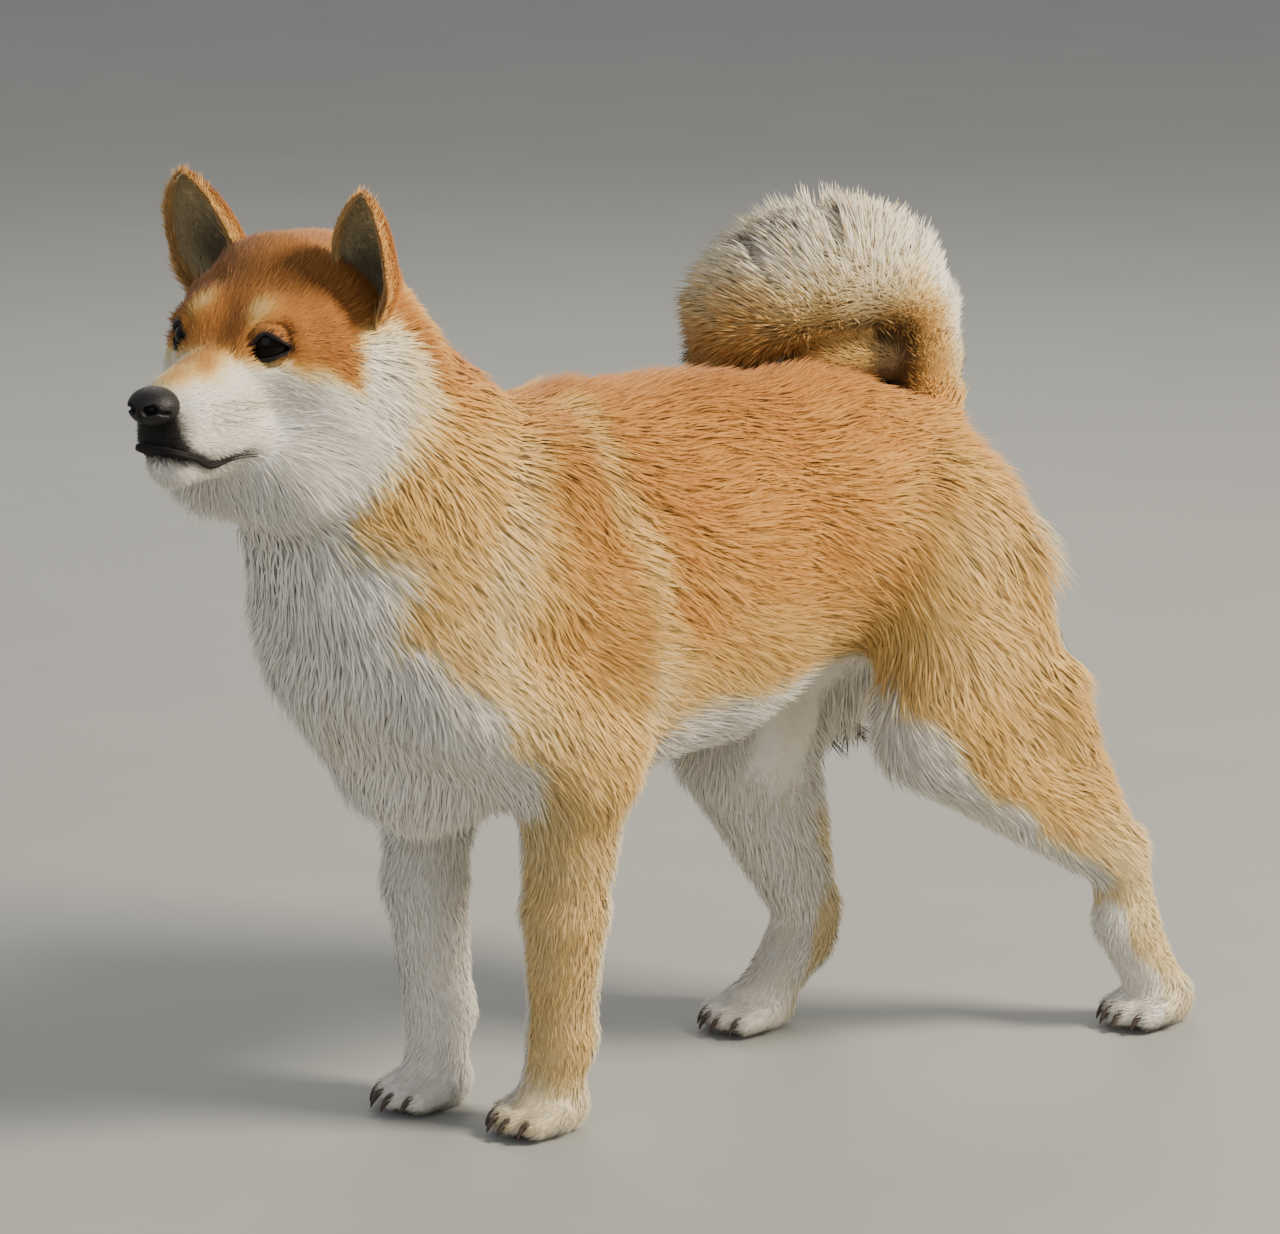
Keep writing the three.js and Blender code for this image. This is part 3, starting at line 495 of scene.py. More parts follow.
def closed_curve(line, count):
    """Points along a smooth closed curve through the given ones."""
    p = np.array(line, float)
    n = len(p)
    out = []
    for u in np.linspace(0, n, count, endpoint=False):
        i, t = int(u), u - int(u)
        a, b, c, d = (p[(i + j - 1) % n] for j in range(4))
        out.append(0.5 * (2 * b + (c - a) * t + (2 * a - 5 * b + 4 * c - d) * t ** 2
                          + (3 * b - a - 3 * c + d) * t ** 3))
    return np.array(out)


def eye_frame(side):
    """Middle of an eye, the ways out, across to its outer corner and up, in the head's frame."""
    out = eye_out(side)
    across = unit(np.array([0.52, side * 0.84, 0]))
    up = np.cross(out, across)
    return EYE * [1, side, 1], out, across, up * np.sign(up[2])


print("eyes", 2 * EYE_RADIUS, "mm across, their opening", np.ptp(ALMOND, axis=0), "mm")

# %% Line of the mouth
# The head's muscles out to the top of the coat.
skull = [dict(m, ra=m["ra"] + m["depth"], rb=m["rb"] + m["depth"])
         for m in MUSCLES[BODY_COUNT:HEAD_COUNT]]


def skull_distance(p):
    """Distance from points of the head's frame to the top of the head's coat."""
    made = np.full(len(p), 1e3)
    for m in skull:
        made = melt(made, distance(m, p), m["soft"])
    return made


def push_out(p, heading, steps):
    """Points moved along their headings until they lie on the top of the coat."""
    for _ in range(steps):
        p = p + heading * (np.maximum(-skull_distance(p), 0) * 0.6)[:, None]
    return p


# Seen from above, the mouth's line runs from one corner round the tip of the muzzle to the other.
# It is given by degrees from straight ahead, and falls towards the corners.
MOUTH_POINTS, CORNER = 90, 127
degrees = np.linspace(-CORNER, CORNER, MOUTH_POINTS)
fall = 13 * smooth(np.abs(degrees), 8, 84) - 2 * smooth(np.abs(degrees), 92, CORNER)
flat = np.zeros(MOUTH_POINTS)
heading = np.stack([-np.cos(np.radians(degrees)), np.sin(np.radians(degrees)), flat], 1)
mouth = push_out(np.stack([flat - 40, flat, -40 - fall], 1), heading, 60)
print("mouth", np.ptp(mouth, axis=0).round(1), "mm long, wide and high")


# %% Black of the head, and painted shade on the forehead
def head_black_and_shade(h):
    """How black skin and hair are at points h of the head's frame, with painted forehead shade."""
    x, y, z = h[:, 0], np.abs(h[:, 1]), h[:, 2]
    ragged = 1.6 * np.sin(x / 3) * np.sin(z / 4 + y / 3)
    # The front of the muzzle under the nose.
    front = np.interp(z, [-50, -40, -30, -18], [-54, -59, -63, -65])
    black = smooth(front + ragged - x, -1.5, 1.5) * smooth(z + ragged, -50, -46)
    black *= smooth(y - 19 + ragged, 0, -3)
    # Round the almonds of the eyes.
    for side in BOTH:
        middle, out, across, up = eye_frame(side)
        q = h - middle
        near = np.flatnonzero((np.linalg.norm(q, axis=1) < 24) & (q @ out > 0))
        flat = np.stack([q[near] @ across, q[near] @ up], 1)
        gap = np.linalg.norm(flat[:, None] - closed_curve(ALMOND, RIM_POINTS), axis=2).min(1)
        black[near] = np.maximum(black[near], smooth(gap, 2.2, 1.2))
    # Along the mouth, some thousand points at a time to spare memory.
    low = np.flatnonzero((x < 20) & (z < -28))
    for start in range(0, len(low), 4000):
        some = low[start:start + 4000]
        gap = np.linalg.norm(h[some][:, None] - mouth, axis=2).min(1)
        black[some] = np.maximum(black[some], 0.95 * smooth(gap + ragged[some] * 0.4, 5.0, 3.0))
    # The forehead is darkened towards black as painted shade.
    painted_forehead_shade = 0.32 * np.exp(-((x - 22) / 26) ** 2 - ((z - 28) / 20) ** 2 - (y / 38) ** 4)
    return np.maximum(black, painted_forehead_shade)


print("black under the nose", head_black_and_shade(np.array([[-70.0, 0, -35]])).round(2))

# %% Markings of head and tail
# How high the white of the cheek reaches, from the nose to behind the ear.
CHEEK_EDGE = ([-80, -40, -20, 0, 10, 22, 30, 36, 56, 64, 80],
              [-10, -7, -5, -9, -12, -17, -6, 6, 4, -22, -40])


def head_markings(h):
    """How white the coat is at points h of the head's frame."""
    x, y, z = h[:, 0], np.abs(h[:, 1]), h[:, 2]
    ragged = 2.5 * np.sin(x / 5) * np.sin(z / 6 + y / 5)
    cheek = smooth(np.interp(x, *CHEEK_EDGE) + ragged - z, -7, 7) * smooth(x, 84, 62)
    cheek *= 1 - 0.22 * smooth(x, 24, 56)
    muzzle = smooth(y + ragged * 0.5, 7, 14) * smooth(x, -18, -32) * 0.8
    brow = 0.5 * np.exp(-(((x + 2) / 12) ** 2 + ((y - 17) / 6) ** 2 + ((z - 17) / 7) ** 2))
    bridge = 0.2 * smooth(x, -8, -24)
    gold = 0.3 * smooth(x, 60, 84)
    return np.clip(np.maximum.reduce([cheek, muzzle, brow + 0.05, bridge, gold]), 0.04, 1)


def tail_markings(p, outside):
    """How white the tail is: gold by the back, cream at the crown and down the back edge."""
    crown = 0.34 + 0.5 * smooth(p[:, 2] + 6 * np.sin(p[:, 0] / 9), 396, 462) + 0.06 * outside
    edge = 0.4 * smooth(outside, 0.4, 0.9) * smooth(p[:, 0], 262, 285)
    inside_ = 0.16 * smooth(outside, -0.2, -0.9)
    return np.clip(crown + edge - inside_, 0, 1)


# %% Markings of every point of the skin
in_head = to_head(points)
headness = smooth(sample(fields["head"], points) - sample(fields["body"], points), 6, -6)
white = markings(points, normals) * (1 - headness) + head_markings(in_head) * headness
white = white * (1 - on_tail) + on_tail * tail_markings(points, brush)
# The black of skin and hair, with painted shade on the forehead and, below, in the tail's curl.
black = head_black_and_shade(in_head) * headness
# The bottom of the tail's curl is in its own shade, and that shade is painted dark into its coat.
hollow = smooth(np.abs(points[:, 0] - 258), 15, 8) * smooth(points[:, 2], 422, 410)
hollow *= smooth(points[:, 1], -9, -4)
black = np.maximum(black, on_tail * 0.85 * hollow)
# The black hair of the muzzle's front and the lids is the shortest, and painted shade on the
# forehead shortens hair a little.
hair *= 1 - 0.4 * black * headness
depth *= 1 - 0.5 * black * headness
print("mean whiteness", round(float(white.mean()), 2))


# %% [markdown]
# ## Materials
# Every colour is given as on the real dog, in sRGB. A picture of fur could be wrapped round the
# dog, but here each tuft is a thing of its own, so its colour can come from nodes. Pattern sizes
# come from the real sizes of patches, hairs, pores and ridges, in millimetres.

# %% Colours and patterns
def colour(code):
    """Linear colour from an sRGB hex code."""
    parts = [int(code[i:i + 2], 16) / 255 for i in (1, 3, 5)]
    return [c / 12.92 if c <= 0.04045 else ((c + 0.055) / 1.055) ** 2.4 for c in parts] + [1]


def waves(mm):
    """The scale of a pattern of this real size: how many go to a metre, in two figures."""
    return float(f"{1000 / mm:.2g}")


# %% Material tools
class Paint:
    """A material whose nodes are added one at a time."""

    def __init__(self, name):
        self.made = bpy.data.materials.new(name)
        self.made.use_nodes = True
        self.tree = self.made.node_tree
        self.surface = self.tree.nodes["Principled BSDF"]

    def node(self, kind, settings=None, **links):
        """A node with its settings, and what goes to its inputs by name or, as i0, by number."""
        made = self.tree.nodes.new("ShaderNode" + kind)
        for key, item in (settings or {}).items():
            setattr(made, key, item)
        for key, item in links.items():
            numbered = key[1:].isdigit()
            self.put(made.inputs[int(key[1:]) if numbered else key.replace("_", " ")], item)
        return made

    def put(self, socket, item):
        """Links a socket to an output, or sets it."""
        if isinstance(item, bpy.types.NodeSocket):
            self.tree.links.new(item, socket)
        else:
            socket.default_value = item

    def finish(self, **links):
        """The material, with what goes to its shader."""
        for key, item in links.items():
            self.put(self.surface.inputs[key.replace("_", " ")], item)
        return self.made


print("a pattern of 2 mm has scale", waves(2))

# %% [markdown]
# ## The colour of hair
# A hair of this coat is pale at its root and full of red pigment further up, and no two hairs are
# quite alike. A flat colour looks like felt. So the marks of each tuft choose a place on a ramp
# from red to white, moved a little by a number of the tuft's own and by soft patches, and darker
# towards the root, where hair shades hair.

# %% Hair material
# From the full red of the back through gold and cream to white.
COAT_COLOURS = ((0.0, "#a1632a"), (0.16, "#c1823a"), (0.34, "#d9a85c"), (0.52, "#e8c37f"),
                (0.72, "#f1daa5"), (0.88, "#f3e7cc"), (1.0, "#f7f2e6"))
# This near-black is also mixed in as painted shade in the ears' cups, on the forehead and in the
# tail's curl.
BLACK_HAIR_AND_SHADE = "#1a1614"
# Soft patches of tone in the coat, and the streaks in a lock. A single hair is 0.05 mm thick, far
# too fine to show, so the streaks are drawn about twenty times as coarse.
TONE_PATCH_MM, STREAK_MM = 42, 1.11


def hair_paint(name, bumpy):
    """Hair by the coat's marks: how white, a number of each tuft's own, and the way along it."""
    paint = Paint(name)
    marks = paint.node("Attribute", {"attribute_name": "coat"})
    parts = paint.node("SeparateColor", i0=marks.outputs["Color"])
    white_, own, along = (parts.outputs[n] for n in ("Red", "Green", "Blue"))
    place = paint.node("NewGeometry").outputs["Position"]
    patches = paint.node("TexNoise", None, Vector=place, Scale=waves(TONE_PATCH_MM), Detail=3.0)
    fine = paint.node("TexNoise", None, Vector=place, Scale=waves(STREAK_MM), Detail=2.0)
    # Where the tuft stands on the ramp: its whiteness, its patch and its own number.
    jitter = paint.node("Math", {"operation": "MULTIPLY_ADD"},
                        i0=patches.outputs["Fac"], i1=0.2, i2=-0.1)
    moved = paint.node("Math", {"operation": "ADD"}, i0=white_, i1=jitter.outputs[0])
    spread = paint.node("Math", {"operation": "MULTIPLY_ADD"}, i0=own, i1=0.14, i2=moved.outputs[0])
    tone = paint.node("Math", {"operation": "SUBTRACT", "use_clamp": True},
                      i0=spread.outputs[0], i1=0.07)
    ramp = paint.node("ValToRGB", None, Fac=tone.outputs[0])
    band = ramp.color_ramp
    while len(band.elements) < len(COAT_COLOURS):
        band.elements.new(0.5)
    for element, (at, code) in zip(band.elements, COAT_COLOURS):
        element.position = at
        element.color = colour(code)
    # Darker towards the root, as painted shade where hair shades hair, and finely streaked.
    light = paint.node("Math", {"operation": "MULTIPLY_ADD"}, i0=along, i1=0.2, i2=0.84)
    grain = paint.node("Math", {"operation": "MULTIPLY_ADD"},
                       i0=fine.outputs["Fac"], i1=0.16, i2=0.92)
    both = paint.node("Math", {"operation": "MULTIPLY"}, i0=light.outputs[0], i1=grain.outputs[0])
    shade = paint.node("VectorMath", {"operation": "SCALE"},
                       i0=ramp.outputs[0], Scale=both.outputs[0])
    # Towards near-black by the fourth mark, for black skin and hair and for painted shade.
    black_ = paint.node("Math", {"operation": "SUBTRACT", "use_clamp": True},
                        i0=1.0, i1=marks.outputs["Alpha"])
    mixed = paint.node("Mix", {"data_type": "RGBA"},
                       i0=black_.outputs[0], i6=shade.outputs[0], i7=colour(BLACK_HAIR_AND_SHADE))
    bump = paint.node("Bump", None, Height=fine.outputs["Fac"], Strength=bumpy, Distance=0.0006)
    return paint.finish(Base_Color=mixed.outputs[2], Roughness=0.8, Sheen_Weight=0.15,
                        Sheen_Roughness=0.5, Specular_IOR_Level=0.25, Normal=bump.outputs[0])


# Undercoat is woolly, soft down that grows close over the skin. It gives the eye a matt ground with
# no gaps, in the colour of the hair over it.
SKIN = hair_paint("undercoat over skin", 0.5)
# Guard hair grows straight and stiff over it. It gives a dry, silky surface with broad dull lights.
HAIR = hair_paint("straight guard hair", 0.0)
print("hair materials:", SKIN.name, "and", HAIR.name)

# %% [markdown]
# ## Bare skin, horn and eyes
# The bare parts are dark all over, yet none is one flat black. Each could have a shader of its
# own, but they differ only in colour, in the size and depth of their relief and in how moist they
# are, so one function makes them all.


# %% Bare materials
def bare_paint(name, code, dark, grain_mm, roughness, depth_m, shine=0.4):
    """Two near colours in a noise of grain_mm, with pebbles 1.6 times finer and depth_m deep."""
    paint = Paint(name)
    place = paint.node("NewGeometry").outputs["Position"]
    noise = paint.node("TexNoise", None, Vector=place, Scale=waves(grain_mm), Detail=4.0)
    mix = paint.node("Mix", {"data_type": "RGBA"},
                     i0=noise.outputs["Fac"], i6=colour(dark), i7=colour(code))
    cells = paint.node("TexVoronoi", None, Vector=place, Scale=waves(grain_mm) * 1.6)
    bump = paint.node("Bump", None, Height=cells.outputs["Distance"], Strength=0.5,
                      Distance=depth_m)
    return paint.finish(Base_Color=mix.outputs[2], Roughness=roughness, Specular_IOR_Level=shine,
                        Normal=bump.outputs[0])


# Nose skin grows as horny pebbles 0.9 mm wide, kept moist. It gives broken, soft lights.
NOSE_SKIN = bare_paint("moist pebbled nose skin", "#1d1a19", "#0a0808", 1.43, 0.5, 0.0004)
# Lips and lids are smooth bare skin, stretched and dry. They give almost no light back.
LIP_SKIN = bare_paint("dark lip and lid skin", "#1f1917", "#0e0b0a", 2, 0.65, 0.0002, 0.25)
# Claws grow as horn and are ground down by walking. They give a satin light. Their real grain is a
# tenth of a millimetre and is drawn much coarser, to show at all.
CLAW_HORN = bare_paint("dark claw horn", "#57493d", "#2b231e", 2.5, 0.45, 0.0001)
# The iris is dark brown under a clear, wet cornea, which gives small, sharp lights. Its relief is
# next to nothing.
EYE_WET = bare_paint("dark brown iris under a wet cornea", "#100805", "#050303",
                     3.33, 0.1, 0.000001, 0.14)
print(len(bpy.data.materials), "materials")


# %% [markdown]
# ## From arrays to pieces
# Over three hundred thousand tufts are far too many to add one by one with Blender's mesh
# operators. So meshes are filled straight from arrays. Each hairy one has the map that later baking
# uses and carries its markings at its points.

# %% Mesh tools
def to_world(p):
    """Design millimetres in the metres of the scene."""
    return (np.asarray(p, float) + SHIFT) / 1000


def build(name, p, faces, material, replaced=(), uv=None, marks=None,
          vertex_normals=None):
    """An object from points in design millimetres and an array of three- or four-sided faces."""
    mesh = bpy.data.meshes.new(name)
    corners = faces.shape[1]
    mesh.vertices.add(len(p))
    mesh.vertices.foreach_set("co", to_world(p).astype(np.float32).ravel())
    mesh.loops.add(faces.size)
    mesh.loops.foreach_set("vertex_index", faces.astype(np.int32).ravel())
    mesh.polygons.add(len(faces))
    mesh.polygons.foreach_set("loop_start", np.arange(0, faces.size, corners, dtype=np.int32))
    mesh.update(calc_edges=True)
    mesh.polygons.foreach_set("use_smooth", np.ones(len(faces), bool))
    if uv is not None:
        layer = mesh.uv_layers.new(name="OFBake")
        layer.data.foreach_set("uv", uv[faces.ravel()].astype(np.float32).ravel())
    if marks is not None:
        attribute = mesh.attributes.new("coat", "FLOAT_COLOR", "POINT")
        attribute.data.foreach_set("color", marks.astype(np.float32).ravel())
    if vertex_normals is not None:
        mesh.normals_split_custom_set_from_vertices(vertex_normals.astype(np.float32))
    mesh.materials.append(material)
    made = bpy.data.objects.new(name, mesh)
    bpy.context.scene.collection.objects.link(made)
    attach(made, "root")
    if replaced:
        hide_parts(*replaced)
    return made


def unwrap(made):
    """An unwrap of the piece's own shape. Returns the place of each face's middle on it."""
    bpy.ops.object.select_all(action="DESELECT")
    made.select_set(True)
    bpy.context.view_layer.objects.active = made
    if not made.data.uv_layers:
        made.data.uv_layers.new(name="OFBake")
    bpy.ops.object.mode_set(mode="EDIT")
    bpy.ops.mesh.select_all(action="SELECT")
    bpy.ops.uv.smart_project(angle_limit=math.radians(70), island_margin=0.002)
    bpy.ops.object.mode_set(mode="OBJECT")
    flat = np.empty(len(made.data.loops) * 2, np.float32)
    made.data.uv_layers["OFBake"].data.foreach_get("uv", flat)
    return flat.reshape(len(made.data.polygons), -1, 2).mean(1)


print("the design frame's origin lies at", to_world([0, 0, 0]).round(4), "m")


# %% The skin as a piece
def skin_place(p, part):
    """Places on the skin's map of the faces nearest to p, for a part's roots off the skin."""
    place = np.flatnonzero(region[quads[:, 0]] == part_names.index(part))
    middles = points[quads[place]].mean(1).astype(np.float32)
    found = [((some[:, None] - middles) ** 2).sum(2).argmin(1)
             for some in np.array_split(p.astype(np.float32), math.ceil(len(p) / 200))]
    return skin_uv[place[np.concatenate(found)]]


def mark_array(white_, own, along, black_=0.0):
    """The marks of points as the colours that the hair material reads."""
    return np.stack([white_, own, along, 1 - black_ * np.ones_like(white_)], 1)


halfway = np.full(len(points), 0.5)
skin = build("skin", points, quads, SKIN,
             replaced=["torso", "neck", "head", "foreleg_left", "foreleg_right", "hindleg_left",
                       "hindleg_right", "tail_root", "tail_curl", "tail_tip",
                       *("paw_" + name for name in FEET)],
             marks=mark_array(white, halfway, halfway + 0.05, black))
skin_uv = unwrap(skin)
print("skin built with", len(skin.data.polygons), "faces")

# %% [markdown]
# ## Tufts
# Real hairs stand together in small tufts, a few hundred to a square centimetre, each too thin to
# draw. Strips with a picture of hair on them are the usual shortcut, but they are open and flat.
# So each tuft is a closed, three-sided blade that tapers to a point, some twenty times as wide as
# a hair. It rises from the skin and bends over along the lie, so that its tip lies at the top of
# the coat. Roots are drawn at random over the skin, closer together where the hair is short. A
# dense coat of short straight tufts fills the space under fewer, longer and bent ones.


# %% Roots
# The widths of a bent tuft at its rings, as shares of its full width.
RING_WIDTHS = (0.9, 1.0, 0.66, 0.4)
# The radius of a tuft's patch on the skin's map, 0.003 across.
PATCH = 0.0015
# Triangles that one piece of the coat may have.
MOST_TRIANGLES = 190000
print("a piece of straight tufts, of four triangles each, holds", MOST_TRIANGLES // 4)


def roots_on(p, faces, density, count):
    """Face numbers and the shares of their corners for count random roots."""
    a, b, c, d = (p[faces[:, i]] for i in range(4))
    area = np.linalg.norm(np.cross(c - a, d - b), axis=1) / 2 * density[faces].mean(1)
    pick = np.searchsorted(np.cumsum(area) / area.sum(), rng.random(count))
    u, v = rng.random((2, count))
    shares = np.stack([(1 - u) * (1 - v), u * (1 - v), u * v, (1 - u) * v], 1)
    return np.minimum(pick, len(faces) - 1), shares


# %% Tufts
def tufts(root, normal, way, length, width, height, white_, black_, uv, rings,
          soft=0.62, bend=0.7, stray=0.13):
    """Points, faces, map, marks and normals of a tuft at each root.

    soft is how far its light follows the skin's, or 0 for its own faces'. bend is how much it
    bows, and stray how far from the lie it turns.
    """
    count = len(root)
    tangent = unit(way - normal * np.einsum("ij,ij->i", way, normal)[:, None])
    across = np.cross(normal, tangent)
    # Neighbouring tufts turn together, in swirls a few centimetres wide.
    swirl = 0.22 * np.sin(root[:, 0] / 17 + root[:, 2] / 23)
    swirl += 0.16 * np.sin(root[:, 1] / 13 - root[:, 2] / 9)
    turn = rng.normal(0, stray, count) + swirl
    tangent = tangent * np.cos(turn)[:, None] + across * np.sin(turn)[:, None]
    across = np.cross(normal, tangent)
    length = length * rng.uniform(0.75, 1.15, count)
    # The root is sunk into the skin, and the blade lifted so far that its tip reaches the height.
    sink = np.minimum(1.2, 0.35 * height)
    lift = np.arcsin(np.clip((height * rng.uniform(0.78, 1.05, count) + sink) / length, 0.02, 0.97))
    own = rng.random(count)
    at = np.linspace(0, 1, rings + 1)
    middle = root - normal * sink[:, None]
    points_, normals_, along = [], [], []
    for i, t in enumerate(at):
        if i:
            angle = lift * (1 + bend * (0.5 - (t + at[i - 1]) / 2) * 2)
            ahead = tangent * np.cos(angle)[:, None] + normal * np.sin(angle)[:, None]
            middle = middle + ahead * (length * (t - at[i - 1]))[:, None]
        if i == rings:
            points_.append(middle)
            normals_.append(normal)
            along.append(np.full(count, 1.0))
            continue
        wide = width * RING_WIDTHS[i] / 2
        for sign, up in ((-1, -0.15), (1, -0.15), (0, 0.5)):
            points_.append(middle + across * (sign * wide)[:, None] + normal * (up * wide)[:, None])
            normals_.append(unit(normal * soft + across * (sign * (1 - soft)) + [0, 0, 0.12]))
            along.append(np.full(count, t))
    per = len(points_)
    triangles = [(0, 1, 2)]
    for i in range(rings - 1):
        for j in range(3):
            a, b = i * 3 + j, i * 3 + (j + 1) % 3
            triangles += [(a, a + 3, b), (b, a + 3, b + 3)]
    last = (rings - 1) * 3
    triangles += [(last + j, per - 1, last + (j + 1) % 3) for j in range(3)]
    faces = np.array(triangles)[None, :, ::-1] + (np.arange(count) * per)[:, None, None]
    made = np.stack(points_, 1).reshape(-1, 3)
    along = np.stack(along, 1).ravel()
    patch = np.array([[math.cos(i * 2.4), math.sin(i * 2.4)] for i in range(per)]) * PATCH
    return {"p": made, "faces": faces.reshape(-1, 3), "uv": (uv[:, None] + patch).reshape(-1, 2),
            "marks": mark_array(np.repeat(white_, per), np.repeat(own, per), along,
                                np.repeat(black_, per)),
            "normals": np.stack(normals_, 1).reshape(-1, 3) if soft else None,
            "per": per, "each": len(triangles)}


print("a bent tuft has rings of", RING_WIDTHS, "times its width")


# %% Coats
def plant(name, made):
    """Builds tufts as pieces of under 200,000 triangles."""
    most = MOST_TRIANGLES // made["each"]
    per, each = made["per"], made["each"]
    count = len(made["p"]) // per
    pieces = math.ceil(count / most)
    for n in range(pieces):
        first, last = count * n // pieces, count * (n + 1) // pieces
        span = slice(first * per, last * per)
        faces = made["faces"][first * each:last * each] - first * per
        build(f"{name}_{n + 1}", made["p"][span], faces, HAIR, uv=made["uv"][span],
              marks=made["marks"][span],
              vertex_normals=None if made["normals"] is None else made["normals"][span])
    print(name, count, "tufts,", count * each, "triangles,", pieces, "pieces")


def coat_of(part, fill, guard, name, wide):
    """The coat over one part of the skin: fill straight tufts under guard bent ones."""
    place = np.flatnonzero(region[quads[:, 0]] == part_names.index(part))
    chosen = quads[place]
    # Roots stand closer where the hair is short, and fewer grow on black skin, in painted shade and
    # in the groin.
    density = (1 - 0.8 * black) * (1 - 0.97 * groin) / np.maximum(hair, 4) ** 0.7
    for kind, count, rings, share in (("fill", fill, 1, 0.82), ("guard", guard, 2, 1.0)):
        if not count:
            continue
        face, shares = roots_on(points, chosen, density, count)
        corners = chosen[face]

        def at(values):
            """Values of the skin's points at the roots."""
            return np.einsum("ij,ij...->i...", shares, values[corners])
        long_ = at(hair) * share
        made = tufts(at(points), unit(at(normals)), at(lie), long_,
                     wide * (at(hair) / 25) ** 0.45, at(depth) * share, at(white), at(black),
                     skin_uv[place[face]], rings)
        plant(f"coat_{name}_{kind}", made)


# Counts of fill and guard tufts, and the width in millimetres of one whose hair is 25 mm long.
coat_of("trunk", 88000, 13000, "trunk", 1.35)
coat_of("neck", 24000, 4000, "neck", 1.35)
coat_of("leg", 52000, 6000, "legs", 1.25)
coat_of("paw", 14000, 0, "paws", 1.3)
coat_of("head", 64000, 3000, "head", 1.2)

# %% [markdown]
# ## The brush of the tail
# The tail is a thin rod of bone in hair as long as it is thick, gold by the back and cream at the
# crown. Hair rooted on the skin alone would leave the curl looking combed. So long tufts are
# added that start inside the undercoat all round the tail's own line, stand out from it and fan
# away from the middle of the curl.

# %% Tail brush
def along_line(values, run):
    """Values at shares of the way from one station of the tail to the next."""
    values = np.array(values, float)
    first = run.astype(int)
    share = (run - first).reshape(-1, *[1] * (values.ndim - 1))
    return values[first] * (1 - share) + values[first + 1] * share


def tail_brush(count, name):
    """Long hairs on the curl, from its own line out to the brush's outer edge."""
    # Where along the tail each one stands, a little closer together towards its root.
    run = rng.random(count) ** 0.9 * (len(TAIL) - 1.02)
    line = np.array([p[:3] for p in TAIL], float)
    centre = along_line(line, run)
    radius = along_line([p[3] for p in TAIL], run)
    forward = unit(line[run.astype(int) + 1] - line[run.astype(int)])
    side_a = unit(np.cross(forward, [0.3, 1, 0.2]))
    side_b = np.cross(forward, side_a)
    turn = rng.random(count) * 2 * math.pi
    around = side_a * np.cos(turn)[:, None] + side_b * np.sin(turn)[:, None]
    outward = unit(centre - CURL)
    fan = unit(around + outward * 0.5 * smooth(run, 1, 3)[:, None])
    root = centre + around * (radius * 0.6)[:, None]
    tip = centre + fan * (radius * rng.uniform(0.78, 1.02, count))[:, None] + forward * 3
    reach = tip - root
    outside = np.einsum("ij,ij->i", unit(tip - CURL), around)
    tone = np.clip(tail_markings(tip, outside) + rng.normal(0, 0.04, count), 0.02, 1)
    made = tufts(root, around, reach, np.linalg.norm(reach, axis=1) * 1.1,
                 np.full(count, TAIL_TUFT), np.einsum("ij,ij->i", reach, around), tone,
                 np.zeros(count), skin_place(root, "tail"), 2, soft=0, stray=0.08, bend=0.2)
    plant("coat_tail_" + name, made)


TAIL_TUFT = 1.6
coat_of("tail", 16000, 0, "tail", TAIL_TUFT)
tail_brush(14000, "guard")

# %% [markdown]
# ## Ears
# Each ear is a thick leaf of gristle, round at the back and hollow in front, with short red hair
# behind, a pale rim and longer cream hair from its edge into the hollow. The grid of the body is
# too coarse for so thin an edge. So an ear is two bent sheets, one inside the other, joined at
# the rim.

# %% Sheet of an ear
EAR_ROOT, EAR_TIP = np.array([54.0, 45, 16]), np.array([37.0, 57, 77])


def ear_sheet(side, skin_, s, t):
    """Points of the ear's sheet, in the head's frame, at shares s across and t up."""
    mirror = np.array([1, side, 1])
    up = (EAR_TIP - EAR_ROOT) * mirror
    across = unit([-0.12, 0.98 * side, -0.15])
    front = unit([-0.95, -0.02 * side, -0.27])
    full = np.maximum(1 - np.maximum(t, 0) ** 2.4, 0) ** 0.6
    half = np.maximum(22 * full * (1 - 0.35 * smooth(t, 0.3, -0.2)) - skin_, 0.3)
    deep = np.maximum(14 * full + 1.5 - skin_, 0.3)
    # The sheet wraps 18 degrees past half way round at each edge.
    angle = math.radians(-18) + s * math.radians(216)
    forward = np.where(np.sin(angle) < 0, 1.2, 1.0)
    return (EAR_ROOT * mirror + t[..., None] * up + (half * np.cos(angle))[..., None] * across
            - (deep * forward * np.sin(angle))[..., None] * front)


def grid_faces(rows, columns):
    """Faces of a grid of points."""
    r, c = np.meshgrid(np.arange(rows - 1), np.arange(columns - 1), indexing="ij")
    a = (r * columns + c).ravel()
    return np.stack([a, a + 1, a + columns + 1, a + columns], 1)


def face_normals(p, faces):
    """Normals of points from the faces round them."""
    cross = np.cross(p[faces[:, 2]] - p[faces[:, 0]], p[faces[:, 3]] - p[faces[:, 1]])
    made = np.zeros_like(p)
    for i in range(4):
        np.add.at(made, faces[:, i], cross)
    return unit(made)


